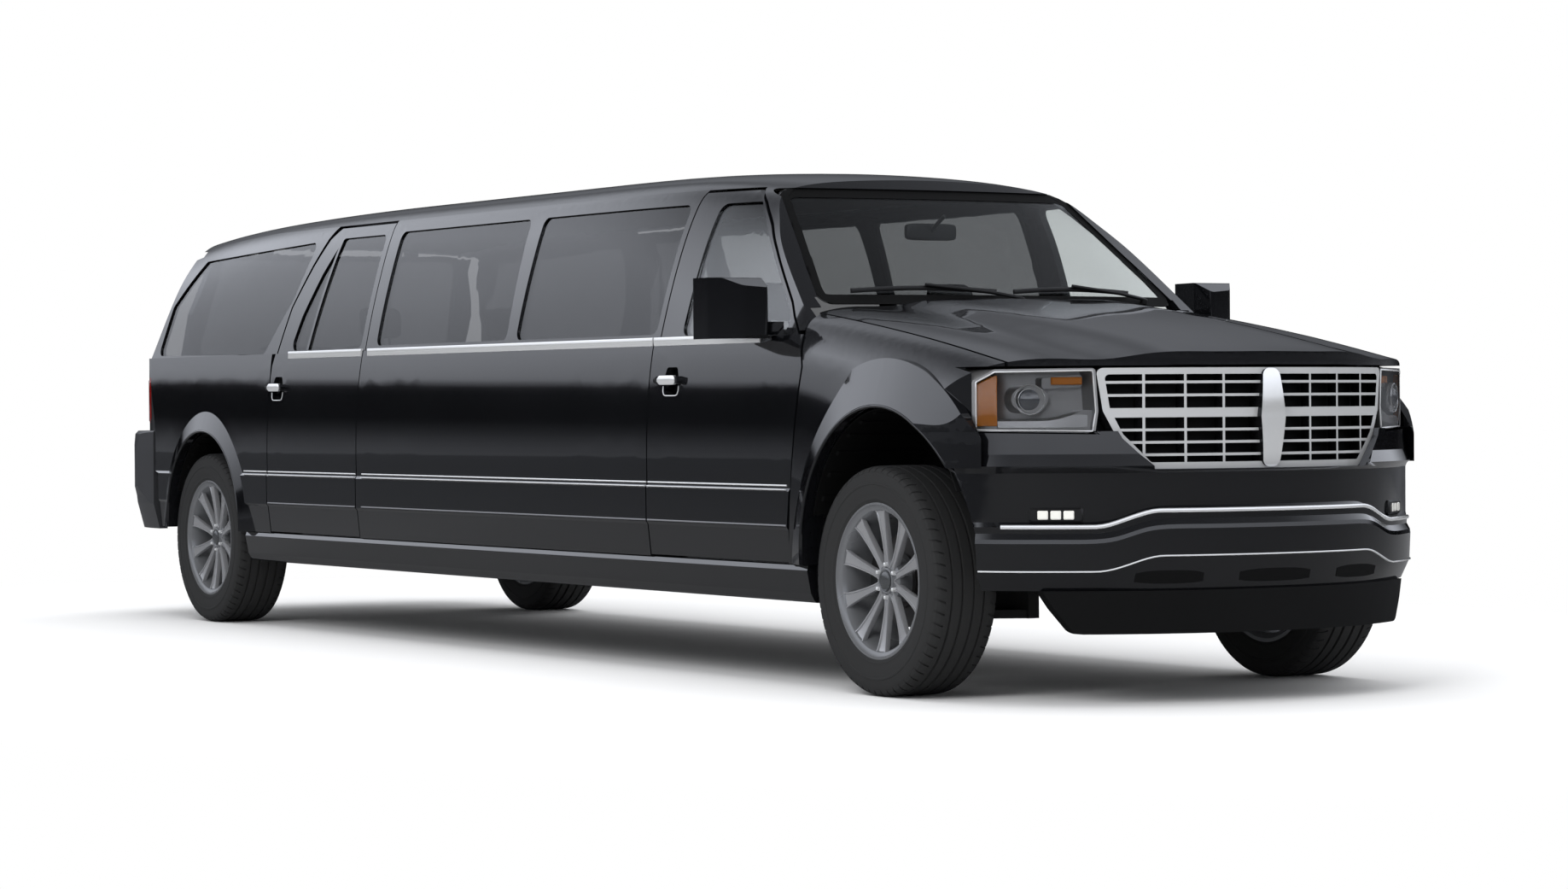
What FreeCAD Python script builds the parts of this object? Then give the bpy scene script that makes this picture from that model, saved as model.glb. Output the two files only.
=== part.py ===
"""Stretch limousine on a long-wheelbase sport-utility body, with a 120 inch stretch.

Frame: +X forward, +Y to the vehicle's left, +Z up. The origin lies on the ground, half way along the
vehicle and on its centre plane. All lengths are millimetres.

The skin is built from three hulls: the lower body, the front body with its bonnet crown, and the greenhouse
with its raked windscreen and tail. Each is a wall between two insets from the outer skin. Doors, wings, roof
and tailgate are cut from those walls with outlines drawn in side, plan or front view.
"""
import FreeCAD
import Part
import math
import os

V = FreeCAD.Vector

# Driving dimensions
WHEELBASE = 6071.0
FRONT_OVERHANG = 1040.0
REAR_OVERHANG = 1205.0
TYRE_RADIUS = 405.5
TYRE_WIDTH = 275.0
RIM_RADIUS = 272.0
TRACK = 1702.0
SILL_Z = 455.0
BELT_Z = 1280.0
GAP = 8.0
SEAT_GAP = 0.3
ROCKER_TOP = 449.0
PANEL_LOW = ROCKER_TOP + SEAT_GAP

LENGTH = FRONT_OVERHANG + WHEELBASE + REAR_OVERHANG
FRONT_AXLE_X = LENGTH / 2 - FRONT_OVERHANG
REAR_AXLE_X = FRONT_AXLE_X - WHEELBASE

# Wall thicknesses
DOOR_WALL = 90.0
PILLAR_WALL = 32.0
WING_WALL = 70.0
TAIL_WALL = 60.0
GLASS_INSET = 8.0
GLASS_WALL = 5.0

# Door and pillar stations, measured from the front axle and from the rear axle
WING_CUT_LOW = -572.0
WING_CUT_HIGH = -485.0
FRONT_DOOR_REAR = -1610.0
REAR_DOOR_FRONT = 1771.0
REAR_DOOR_REAR = 788.0
UPPER_GAP = 12.0

# Wheel arches: centre ahead of the axle, centre height and radius
FRONT_ARCH = (70.0, 508.0, 508.0)
REAR_ARCH = (30.0, 477.0, 440.0)
FLARE_WIDTH = 170.0
FLARE_EDGE = 1021.0
FLARE_SLOPE = 0.28
FLARE_LIP = 9.0

# Steering and hinge geometry
KINGPIN_Y = 800.0
SPINDLE_RADIUS = 32.0
PIN_CLEARANCE = 0.08
DOOR_AXIS_AHEAD = 12.0
DOOR_AXIS_OUT = 1014.0
DOOR_AXIS_Z = 450.0
DOOR_AXIS_TILT = 0.05
SWING_SPARE = 12.0


def fx(x):
    """A station measured forward from the front axle."""
    return FRONT_AXLE_X + x


def rx(x):
    """A station measured forward from the rear axle."""
    return REAR_AXLE_X + x


# Wires and prisms

def rounded(points, radii, place):
    """A closed wire through 2D points with each corner rounded; place turns (u, v) into a vector."""
    if not isinstance(radii, (list, tuple)):
        radii = [radii] * len(points)
    n = len(points)
    edges = []
    starts, ends, middles = [], [], []
    for i, (u, v) in enumerate(points):
        r = radii[i]
        if r <= 0:
            starts.append((u, v))
            ends.append((u, v))
            middles.append(None)
            continue
        a, b = points[i - 1], points[(i + 1) % n]
        la, lb = math.hypot(a[0] - u, a[1] - v), math.hypot(b[0] - u, b[1] - v)
        da = ((a[0] - u) / la, (a[1] - v) / la)
        db = ((b[0] - u) / lb, (b[1] - v) / lb)
        half = math.acos(max(-1.0, min(1.0, da[0] * db[0] + da[1] * db[1]))) / 2
        run = r / math.tan(half)
        bis = (da[0] + db[0], da[1] + db[1])
        lbis = math.hypot(*bis)
        reach = r / math.sin(half) - r
        starts.append((u + da[0] * run, v + da[1] * run))
        ends.append((u + db[0] * run, v + db[1] * run))
        middles.append((u + bis[0] / lbis * reach, v + bis[1] / lbis * reach))
    for i in range(n):
        if middles[i] is not None:
            edges.append(Part.Arc(place(*starts[i]), place(*middles[i]), place(*ends[i])).toShape())
        j = (i + 1) % n
        if math.hypot(ends[i][0] - starts[j][0], ends[i][1] - starts[j][1]) > 1e-6:
            edges.append(Part.LineSegment(place(*ends[i]), place(*starts[j])).toShape())
    return Part.Wire(edges)


def side_prism(points, y0, y1, radii=0):
    """An outline drawn in side view (x, z), run across the vehicle from y0 to y1."""
    wire = rounded(points, radii, lambda u, v: V(u, y0, v))
    return Part.Face(wire).extrude(V(0, y1 - y0, 0))


def plan_prism(points, z0, z1, radii=0):
    """An outline drawn in plan (x, y), run up from z0 to z1."""
    wire = rounded(points, radii, lambda u, v: V(u, v, z0))
    return Part.Face(wire).extrude(V(0, 0, z1 - z0))


def front_prism(points, x0, x1, radii=0):
    """An outline drawn in front view (y, z), run along the vehicle from x0 to x1."""
    wire = rounded(points, radii, lambda u, v: V(x0, u, v))
    return Part.Face(wire).extrude(V(x1 - x0, 0, 0))


def block(x0, x1, y0, y1, z0, z1):
    """A plain box between its corners."""
    return Part.makeBox(x1 - x0, y1 - y0, z1 - z0, V(x0, y0, z0))


def tube(start, end, radius, bore=0.0):
    """A round bar, or a tube where it has a bore."""
    a, b = V(*start), V(*end)
    run = b - a
    bar = Part.makeCylinder(radius, run.Length, a, run)
    if bore > 0:
        bar = bar.cut(Part.makeCylinder(bore, run.Length, a, run))
    return bar


def spline(points, knots=None):
    """One smooth edge through the given points; shared knots keep a row of sections alike."""
    curve = Part.BSplineCurve()
    if knots:
        curve.interpolate(Points=[V(*p) for p in points], Parameters=knots)
    else:
        curve.interpolate([V(*p) for p in points])
    return curve.toShape()


def chord_knots(run):
    """Knots spaced along a 2D run by the length of its chords."""
    knots = [0.0]
    for (u0, v0), (u1, v1) in zip(run, run[1:]):
        knots.append(knots[-1] + math.hypot(u1 - u0, v1 - v0))
    return [k / knots[-1] for k in knots]


def mirror(shape):
    """The same piece on the other side of the vehicle."""
    return shape.mirror(V(0, 0, 0), V(0, 1, 0))


def both(shape):
    """The piece and its mirror image in one node."""
    return Part.makeCompound([shape, mirror(shape)])


def fuse(pieces):
    """One solid from several that meet."""
    shape = pieces[0]
    if len(pieces) > 1:
        shape = pieces[0].multiFuse(pieces[1:])
    return shape.removeSplitter()


def offset(points, inset):
    """Moves an open run of 2D points inwards, to the right of its direction, by the inset."""
    moved = []
    for i, (u, v) in enumerate(points):
        a, b = points[max(i - 1, 0)], points[min(i + 1, len(points) - 1)]
        du, dv = b[0] - a[0], b[1] - a[1]
        run = math.hypot(du, dv)
        moved.append((u - dv / run * inset, v + du / run * inset))
    return moved


# Hull sections, as (half width, height)
SKIN = [(1000, 723), (1001, 850), (996, 1000), (983, 1150), (962, BELT_Z)]
CLADDING = [(984, SILL_Z), (997, 571), (1005, 582), (1006, 712), (1000, 723)]
WING_REAR = [(988, 380), (1000, 600), (1003, 725), (1001, 850), (996, 1000), (983, 1150), (960, 1265),
             (920, 1330), (845, 1368), (700, 1392), (540, 1402), (450, 1420), (250, 1432), (0, 1436)]
WING_FRONT = [(988, 380), (1000, 600), (1003, 725), (1000, 830), (993, 930), (977, 1020), (944, 1090),
              (895, 1138), (825, 1172), (700, 1196), (560, 1210), (460, 1232), (250, 1248), (0, 1252)]
WING_NOSE_DROP = 62.0
WING_LIFT = 14.0
GLASSHOUSE = [(951, BELT_Z), (915, 1450), (868, 1630), (815, 1795), (788, 1850), (745, 1890), (660, 1919),
              (480, 1941), (250, 1952), (0, 1956)]

# Plan outlines of the ends, as (distance ahead of the axle, half width)
NOSE = [(985, 0), (950, 300), (826, 612), (690, 800), (578, 905), (470, 960), (330, 992), (120, 1016),
        (-150, 1030)]
BUMPER_PROUD = 55.0
BUMPER_HIGH = 929.0
BUMPER_LOW = 391.0
TAIL = [(-962, 0), (-950, 450), (-915, 780), (-868, 892), (-790, 955), (-680, 988), (-500, 1012),
        (-250, 1030)]
REAR_BUMPER = [(-1205, 0), (-1193, 420), (-1155, 730), (-1085, 880), (-990, 958), (-860, 1000), (-690, 1016),
               (-400, 1032)]

# Windscreen and tail rake: x falls with height by the slope, and bows with the square of the half width
SCREEN_BASE_X = -389.0
SCREEN_SLOPE = 1.31
SCREEN_BOW = 0.00015
TAIL_BASE_X = -885.0
TAIL_SLOPE = 0.50
TAIL_BOW = 0.00009


def mirrored_run(half):
    """A half section from the right sill to the centre, carried on to the left sill, as (y, z)."""
    right = [(-w, z) for w, z in half]
    return right + [(w, z) for w, z in reversed(half[:-1])]


def lower_body(inset, x0, x1, z0=SILL_Z, z1=BELT_Z):
    """The lower body's prism between two stations: cladding, then the curved skin up to the belt."""
    if inset == 0:
        clad = [V(x0, -w, z) for w, z in CLADDING]
        skin = [(x0, -w, z) for w, z in SKIN]
        right = [Part.LineSegment(a, b).toShape() for a, b in zip(clad, clad[1:])] + [spline(skin)]
    else:
        low, high = SKIN[0][0] - inset, SKIN[-1][0] - inset
        points = [(x0, -low, z0)] + [(x0, -(w - inset), z) for w, z in SKIN[:-1]] + [(x0, -high, z1)]
        right = [spline(points)]
    left = [e.mirror(V(0, 0, 0), V(0, 1, 0)) for e in right]
    top = Part.LineSegment(right[-1].valueAt(right[-1].LastParameter),
                           left[-1].valueAt(left[-1].LastParameter)).toShape()
    bottom = Part.LineSegment(left[0].valueAt(left[0].FirstParameter),
                              right[0].valueAt(right[0].FirstParameter)).toShape()
    wire = Part.Wire(Part.__sortEdges__(right + [top] + left + [bottom]))
    return Part.Face(wire).extrude(V(x1 - x0, 0, 0))


def wing_run(x, inset):
    """The front body's half-to-half line at a station, ahead of the axle by x: sill, side, shoulder, crown."""
    span_rear, span_front = -640.0, 650.0
    s = (x - span_rear) / (span_front - span_rear)
    lift = WING_LIFT * max(0.0, 1 - (2 * s - 1) ** 2)
    half = []
    for (w0, z0), (w1, z1) in zip(WING_REAR, WING_FRONT):
        k = min(s, 1.0)
        w, z = w0 + (w1 - w0) * k, z0 + (z1 - z0) * k
        share = max(0.0, min(1.0, (z - 1000) / 200))
        z += lift * share
        if s > 1:
            z -= WING_NOSE_DROP * share * (x - span_front) / 400.0
        half.append((w, z))
    run = mirrored_run(half)
    return level_ends(offset(run, -inset), WING_REAR[0][1]) if inset else run


def glass_run(drop, narrow, inset):
    """The greenhouse's line from belt to belt; drop lowers the roof and narrow draws the sides in."""
    half = []
    for w, z in GLASSHOUSE:
        share = max(0.0, min(1.0, (z - 1630) / 230))
        taper = min(1.0, w / 600) * (0.4 + 0.6 * (z - BELT_Z) / 520)
        half.append((w - narrow * taper, z - drop * share))
    run = mirrored_run(half)
    return level_ends(offset(run, -inset), BELT_Z) if inset else run


def level_ends(run, z):
    """Brings both ends of an inset line back to the level of its base."""
    return [(run[0][0], z)] + run[1:-1] + [(run[-1][0], z)]


def wall_wire(x, outer, inner, knots):
    """A closed section between an outer and an inner line at one station."""
    skin = spline([(x, y, z) for y, z in outer], knots)
    lining = spline([(x, y, z) for y, z in inner], knots)
    left = Part.LineSegment(V(x, *outer[-1]), V(x, *inner[-1])).toShape()
    right = Part.LineSegment(V(x, *inner[0]), V(x, *outer[0])).toShape()
    return Part.Wire([skin, left, lining, right])


def front_wall(inset0, inset1, stations=(-640, -300, 40, 360, 650, 1060)):
    """The wings and bonnet as a wall between two insets, cut to the nose in plan."""
    knots = chord_knots(mirrored_run(WING_REAR))
    wires = [wall_wire(fx(x), wing_run(x, inset0), wing_run(x, inset1), knots) for x in stations]
    nose = end_prism(inset_end(NOSE, inset0) if inset0 else NOSE, FRONT_AXLE_X, 200, 1700, fx(-900))
    return Part.makeLoft(wires, True, False).common(nose)


def glass_wall(inset0, inset1):
    """The greenhouse as a wall between two insets: tumblehome sides, crowned roof, raked ends."""
    stations = [(fx(-450), 230, 110), (fx(-800), 134, 100), (fx(-1150), 70, 84), (fx(-1650), 14, 34),
                (fx(-2150), 1, 6), (fx(-2650), 0, 0), (fx(-3150), 0, 0), (rx(2400), 0, 0), (rx(1900), 0, 0),
                (rx(1400), 1, 0), (rx(900), 6, 0), (rx(400), 16, 2), (rx(-100), 34, 10), (rx(-600), 66, 26),
                (rx(-1100), 116, 50)]
    knots = chord_knots(mirrored_run(GLASSHOUSE))
    wires = [wall_wire(x, glass_run(d, n, inset0), glass_run(d, n, inset1), knots) for x, d, n in stations]
    return Part.makeLoft(wires, True, False).common(screen_prism(0)).common(tail_prism(0))


def end_prism(half, axle, z0, z1, back, forward=0.0):
    """A vertical prism whose one end follows a nose or tail outline; back is its far, square end."""
    run = [(axle + x + forward, -w) for x, w in reversed(half)] + [(axle + x + forward, w) for x,
                                                                   w in half[1:]]
    curve = spline([(x, y, z0) for x, y in run])
    a, b = run[0], run[-1]
    far = [V(a[0], a[1], z0), V(back, a[1], z0), V(back, b[1], z0), V(b[0], b[1], z0)]
    lines = [Part.LineSegment(p, q).toShape() for p, q in zip(far, far[1:])]
    return Part.Face(Part.Wire([curve] + lines)).extrude(V(0, 0, z1 - z0))


def inset_end(half, inset):
    """An end outline moved into the vehicle by a wall's thickness."""
    sign = 1 if half[0][0] > 0 else -1
    moved = [(half[0][0] - sign * inset, 0)]
    for i in range(1, len(half)):
        a, b = half[i - 1], half[min(i + 1, len(half) - 1)]
        du, dw = b[0] - a[0], b[1] - a[1]
        run = math.hypot(du, dw)
        moved.append((half[i][0] - sign * abs(dw) / run * inset, half[i][1] - abs(du) / run * inset))
    return moved


def raked_prism(base_x, slope, bow, back, sign):
    """A prism whose end face leans with height and bows in plan, as a windscreen or tail does."""
    half, from_z, reach = 1200.0, 300.0, 1900.0
    x0 = base_x - slope * (from_z - BELT_Z)
    ends = x0 - sign * bow * half * half
    arc = Part.Arc(V(ends, -half, from_z), V(x0, 0, from_z), V(ends, half, from_z)).toShape()
    far = [V(ends, half, from_z), V(back, half, from_z), V(back, -half, from_z), V(ends, -half, from_z)]
    lines = [Part.LineSegment(p, q).toShape() for p, q in zip(far, far[1:])]
    return Part.Face(Part.Wire([arc] + lines)).extrude(V(-slope * reach, 0, reach))


def screen_prism(inset):
    """Everything behind the windscreen's surface, set back along its normal by the inset."""
    base = fx(SCREEN_BASE_X) - inset * math.hypot(1, SCREEN_SLOPE)
    return raked_prism(base, SCREEN_SLOPE, SCREEN_BOW, rx(-2500), 1)


def tail_prism(inset, slope=TAIL_SLOPE):
    """Everything ahead of the tail's raked surface."""
    base = rx(TAIL_BASE_X) + inset * math.hypot(1, slope)
    return raked_prism(base, -slope, TAIL_BOW, fx(500), -1)


def wheel_cut(axle, arch, side=0, grow=0.0):
    """The cylinder that opens a wheel arch, on both sides or on one."""
    ahead, height, radius = arch
    y0, y1 = (-1300, 1300) if side == 0 else ((-1300, -600) if side < 0 else (600, 1300))
    return Part.makeCylinder(radius + grow, y1 - y0, V(axle + ahead, y0, height), V(0, 1, 0))


def revolve(profile, x, z):
    """A closed profile of (radius, y) turned about a wheel's axle."""
    wire = Part.makePolygon([V(x, y, z + r) for r, y in profile + [profile[0]]])
    return Part.Face(wire).revolve(V(x, 0, z), V(0, 1, 0), 360)


def flare(axle, arch):
    """The right-hand swelling round a wheel arch: a shallow cone with a rolled lip at the opening."""
    ahead, height, radius = arch
    low = FLARE_EDGE - FLARE_SLOPE * FLARE_WIDTH
    ring = [(radius, -FLARE_EDGE + FLARE_LIP), (radius + FLARE_LIP, -FLARE_EDGE),
            (radius + FLARE_WIDTH, -low),
            (radius + FLARE_WIDTH, -low + WING_WALL / 2), (radius, -low + WING_WALL / 2)]
    return revolve(ring, axle + ahead, height)


def right_wall(x0, x1, wall=DOOR_WALL, low=SILL_Z):
    """The right lower wall between two stations: cladding, curved skin and a smooth inner face."""
    clad = [V(x0, -w, z) for w, z in [(CLADDING[0][0], low)] + CLADDING[1:]]
    skin = [(x0, -w, z) for w, z in SKIN]
    lining = [(x0, -(w - wall), z) for w, z in reversed(SKIN)]
    edges = [Part.LineSegment(a, b).toShape() for a, b in zip(clad, clad[1:])] + [spline(skin)]
    edges.append(Part.LineSegment(V(*skin[-1]), V(*lining[0])).toShape())
    edges.append(spline(lining))
    foot = V(x0, lining[-1][1], low)
    edges.append(Part.LineSegment(V(*lining[-1]), foot).toShape())
    edges.append(Part.LineSegment(foot, clad[0]).toShape())
    return Part.Face(Part.Wire(edges)).extrude(V(x1 - x0, 0, 0))


# Door outlines in side view. The screen pillar line runs up the front of the front door's frame.
PILLAR_LINE = [(-690, 1343), (-735, 1400), (-845, 1500), (-955, 1600), (-1075, 1700), (-1205, 1790)]
FRAME_TOP = 1848.0
FRAME_TOP_X = -1310.0
DOOR_FOOT_X = -620.0
WING_REAR_TOP = (-520, BELT_Z)

REAR_FRAME = [(rx(780), 1202), (rx(878), 1492), (rx(1010), 1680), (rx(1110), 1800), (rx(1190), FRAME_TOP)]


# The frame swings a little rearwards as the door opens, more so higher up where it leans further in
FRAME_GAPS = [12, 14, 20, 30]


def front_door_outline(grow=0.0):
    """The front door in side view, from the sill round its sloping front frame."""
    low = [(fx(WING_CUT_LOW) + grow, SILL_Z - grow), (fx(WING_CUT_HIGH) + grow, 1162),
           (fx(WING_REAR_TOP[0]) + grow, BELT_Z + grow), (fx(DOOR_FOOT_X) + grow, BELT_Z + grow)]
    frame = [(fx(x) + grow, z + grow) for x, z in PILLAR_LINE]
    rear = fx(FRONT_DOOR_REAR) - SWING_SPARE - grow
    return low + frame + [(fx(FRAME_TOP_X) + grow, FRAME_TOP + grow), (rear, FRAME_TOP + grow),
                          (rear, SILL_Z - grow)]


def rear_door_outline(grow=0.0):
    """The rear door in side view, whose frame slopes back over the rear wheel."""
    front = [(rx(REAR_DOOR_FRONT) + grow, SILL_Z - grow), (rx(REAR_DOOR_FRONT) + grow, FRAME_TOP + grow)]
    frame = [(x - grow, z + grow) for x, z in reversed(REAR_FRAME)]
    rear = rx(REAR_DOOR_REAR) - SWING_SPARE - grow
    return front + frame + [(rear, 1150), (rear, SILL_Z - grow)]


# Window openings in side view
FRONT_DOOR_PANE = [(fx(-665), 1292), (fx(-752), 1393), (fx(-985), 1607), (fx(-1225), 1800), (fx(-1450), 1800),
                   (fx(-1462), 1292)]
REAR_DOOR_PANE = [(rx(1725), 1292), (rx(1725), 1800), (rx(1262), 1800), (rx(1130), 1640), (rx(1010), 1450),
                  (rx(945), 1292)]
FORWARD_PANE = [(fx(-1652), 1300), (fx(-1640), 1805), (fx(-2812), 1805), (fx(-2828), 1300)]
AFT_PANE = [(fx(-2912), 1300), (fx(-2930), 1805), (fx(-4190), 1805), (fx(-4190), 1300)]
QUARTER_PANE = [(rx(640), 1280), (rx(868), 1534), (rx(985), 1795), (rx(-395), 1752), (rx(-655), 1534),
                (rx(-715), 1292)]
PANE_ROUND = 38.0


def on_right(outline, radii=0, deep=-500.0):
    """An outline run through the right side only."""
    return side_prism(outline, -1300, deep, radii)


def swing(x, radius):
    """The cylinder that a right-hand door's rear edge sweeps about its tilted hinge axis."""
    drop = 400.0
    base = V(x, -(DOOR_AXIS_OUT + DOOR_AXIS_TILT * drop), DOOR_AXIS_Z - drop)
    return Part.makeCylinder(radius, 2400.0, base, V(0, DOOR_AXIS_TILT, 1))


def glass_pane(outline):
    """A right-hand pane seated in its opening with a thin seal gap."""
    shrunk = shrink(outline, SEAT_GAP)
    return GLASS.common(on_right(shrunk, PANE_ROUND))


def shrink(outline, gap):
    """Moves every side of a closed outline inwards by the gap."""
    area = sum(a[0] * b[1] - b[0] * a[1] for a, b in zip(outline, outline[1:] + outline[:1]))
    sign = 1 if area > 0 else -1
    n, moved = len(outline), []
    for i in range(n):
        a, p, b = outline[i - 1], outline[i], outline[(i + 1) % n]
        u = unit(p[0] - a[0], p[1] - a[1])
        v = unit(b[0] - p[0], b[1] - p[1])
        nu, nv = (-u[1] * sign, u[0] * sign), (-v[1] * sign, v[0] * sign)
        k = 1 + nu[0] * nv[0] + nu[1] * nv[1]
        moved.append((p[0] + gap * (nu[0] + nv[0]) / k, p[1] + gap * (nu[1] + nv[1]) / k))
    return moved


def unit(u, v):
    """A 2D direction of length one."""
    run = math.hypot(u, v)
    return u / run, v / run


# Build the walls once
GLASS = glass_wall(GLASS_INSET, GLASS_INSET + GLASS_WALL)
PILLARS = glass_wall(0, PILLAR_WALL)
ROOF = glass_wall(0, 60.0)
WINGS = front_wall(0, WING_WALL)
BONNET = front_wall(0, 45.0)

nodes = {}

# Doors. Each rear edge is cut to the arc that it swings on, and what it shuts against to the same arc
FRONT_AXIS_X = fx(WING_CUT_HIGH) + DOOR_AXIS_AHEAD
REAR_AXIS_X = rx(REAR_DOOR_FRONT) + DOOR_AXIS_AHEAD
front_reach = FRONT_AXIS_X - fx(FRONT_DOOR_REAR)
rear_reach = REAR_AXIS_X - rx(REAR_DOOR_REAR)
front_low = right_wall(fx(-1640), fx(-400)).common(on_right(front_door_outline()))
front_up = PILLARS.common(on_right(front_door_outline()))
front_door = fuse([front_low, front_up]).cut(on_right(FRONT_DOOR_PANE, PANE_ROUND))
front_door = front_door.common(swing(FRONT_AXIS_X, front_reach))
rear_low = right_wall(rx(760), rx(1780)).common(on_right(rear_door_outline()))
rear_up = PILLARS.common(on_right(rear_door_outline()))
rear_door = fuse([rear_low, rear_up]).cut(on_right(REAR_DOOR_PANE, PANE_ROUND))
rear_door = rear_door.common(swing(REAR_AXIS_X, rear_reach))
HANDLE_HALF = 84.0
HANDLE_BAR = (1108.0, 1138.0)
CUP_Z = (1068.0, 1172.0)
CUP_DEPTH = 34.0
HANDLE_PROUD = 14.0


def handle(door, x):
    """Cuts a finger cup into a right-hand door and bridges it with a pull bar."""
    skin = SKIN[2][0]
    low, high = CUP_Z
    cup = side_prism([(x - 46, low), (x - 58, high - 46), (x - 40, high), (x + 40, high), (x + 58, high - 46),
                      (x + 46, low)], -skin - 60, -skin + CUP_DEPTH + 12, 16)
    bar = side_prism([(x - HANDLE_HALF, HANDLE_BAR[0]), (x - HANDLE_HALF, HANDLE_BAR[1]),
                      (x + HANDLE_HALF, HANDLE_BAR[1]), (x + HANDLE_HALF, HANDLE_BAR[0])],
                     -skin - HANDLE_PROUD, -skin + 14, 10)
    return fuse([door.cut(cup), bar])


front_door = handle(front_door, fx(-1440))
rear_door = handle(rear_door, rx(881))
DIVIDER = [(rx(1133) - 11, 1285), (rx(1249) - 11, 1806), (rx(1249) + 11, 1806), (rx(1133) + 11, 1285)]
divider = glass_wall(0, GLASS_INSET - SEAT_GAP).common(on_right(DIVIDER))
rear_door = fuse([rear_door, divider.common(on_right(shrink(REAR_DOOR_PANE, -6)))])
nodes["door_front_right"], nodes["door_front_left"] = front_door, mirror(front_door)
nodes["door_rear_right"], nodes["door_rear_left"] = rear_door, mirror(rear_door)
pane = glass_pane(FRONT_DOOR_PANE)
nodes["window_front_right"], nodes["window_front_left"] = pane, mirror(pane)
pane = glass_pane(REAR_DOOR_PANE)
nodes["window_rear_right"], nodes["window_rear_left"] = pane, mirror(pane)

# Stretch panels between the doors
stretch_x0, stretch_x1 = rx(REAR_DOOR_FRONT) + GAP, fx(FRONT_DOOR_REAR) + 40
ROOF_SEAM = FRAME_TOP + UPPER_GAP
stretch_outline = [(stretch_x0, 440), (stretch_x1, 440), (stretch_x1, ROOF_SEAM), (stretch_x0, ROOF_SEAM)]
stretch = fuse([right_wall(stretch_x0, stretch_x1, DOOR_WALL, PANEL_LOW),
                PILLARS.common(on_right(stretch_outline))])
stretch = stretch.cut(on_right(FORWARD_PANE, PANE_ROUND)).cut(on_right(AFT_PANE, PANE_ROUND))
stretch = stretch.cut(swing(FRONT_AXIS_X, front_reach + GAP))
nodes["stretch_panels"] = both(stretch)

HINGE_Z = (600, 1040)
for z in HINGE_Z:
    leaf = block(rx(REAR_DOOR_FRONT) + SEAT_GAP, rx(REAR_DOOR_FRONT) + 30, -975, -935, z, z + 90)
    stretch = fuse([stretch, leaf])
nodes["stretch_panels"] = both(stretch)

# Quarter panels round to the tail lamps
GATE_HALF = 770.0
GATE_FOOT = 725.0
BUMPER_TOP = 920.0
BUMPER_SIDE_X = -629.0
tail = end_prism(TAIL, REAR_AXLE_X, 300, 1400, rx(1200)).common(tail_prism(0, 0.33))
tail_in = end_prism(inset_end(TAIL, TAIL_WALL), REAR_AXLE_X, 300, 1400,
                    rx(1200)).common(tail_prism(TAIL_WALL, 0.33))
side = right_wall(rx(-1100), rx(REAR_DOOR_REAR) + 10, DOOR_WALL, PANEL_LOW).common(tail)
side = side.cut(on_right([(rx(760), 1150), (rx(REAR_DOOR_REAR) - 10, 1150), (rx(762), BELT_Z + 5),
                          (rx(900), BELT_Z + 5),
                          (rx(900), 1150)]))
end_block = lower_body(0, rx(-1200), rx(-560)).common(tail)
end_wall = end_block.cut(lower_body(DOOR_WALL, rx(-1400), rx(-400), 400, 1340).common(tail_in))
corner = end_wall.common(block(rx(-1200), rx(-500), -1100, -(GATE_HALF + GAP), 440, BELT_Z))
quarter_top = [(rx(REAR_DOOR_REAR) - 10, 1150)] + [(x - g, z + 4) for (x, z),
                                                   g in zip(REAR_FRAME[:-1], FRAME_GAPS)]
quarter_top += [(rx(1140), ROOF_SEAM), (rx(400), ROOF_SEAM), (rx(-200), 1836), (rx(-720), 1795),
                (rx(-900), 1700), (rx(-1100), 1150)]
upper = PILLARS.common(on_right(quarter_top))
upper = upper.cut(block(rx(-1200), rx(-500), -GATE_HALF - GAP, 0, 1200, 2000))
quarter = fuse([side.cut(swing(REAR_AXIS_X, rear_reach + GAP)), corner, upper])
quarter = quarter.cut(on_right(QUARTER_PANE, PANE_ROUND))
swell = flare(REAR_AXLE_X, REAR_ARCH).common(block(rx(BUMPER_SIDE_X) + SEAT_GAP, rx(700), -1100, 0, PANEL_LOW,
                                                   1250))
quarter = fuse([quarter, swell]).cut(wheel_cut(REAR_AXLE_X, REAR_ARCH, -1))
quarter = quarter.cut(block(rx(-1300), rx(BUMPER_SIDE_X) + SEAT_GAP, -1100, -942.7, 300,
                            BUMPER_TOP + SEAT_GAP))
quarter = quarter.cut(on_right([(rx(-560), 300), (rx(-560), 715), (rx(-1300), 715), (rx(-1300), 300)]))
nodes["quarter_panels"] = both(quarter)
nodes["cabin_glass"] = Part.makeCompound([f(glass_pane(o)) for o in (FORWARD_PANE, AFT_PANE, QUARTER_PANE)
                                          for f in (lambda s: s, mirror)])

# Roof with its screen pillars
roof_cut = [(fx(DOOR_FOOT_X) + UPPER_GAP, 1200), (fx(DOOR_FOOT_X) + UPPER_GAP, BELT_Z)]
roof_cut += [(fx(x) + UPPER_GAP, z + 6) for x, z in PILLAR_LINE]
roof_cut += [(fx(FRAME_TOP_X), ROOF_SEAM), (rx(400), ROOF_SEAM + SEAT_GAP), (rx(-200), 1836 + SEAT_GAP),
             (rx(-720), 1795 + SEAT_GAP), (rx(-1300), 1500), (rx(-1300), 1200)]
GATE_TOP = 1796.0
roof = ROOF.cut(side_prism(roof_cut, -1300, 1300))
roof = roof.cut(block(fx(-700), fx(0), -1300, 1300, 1200, 1296))
nodes["roof_panel"] = roof


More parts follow.
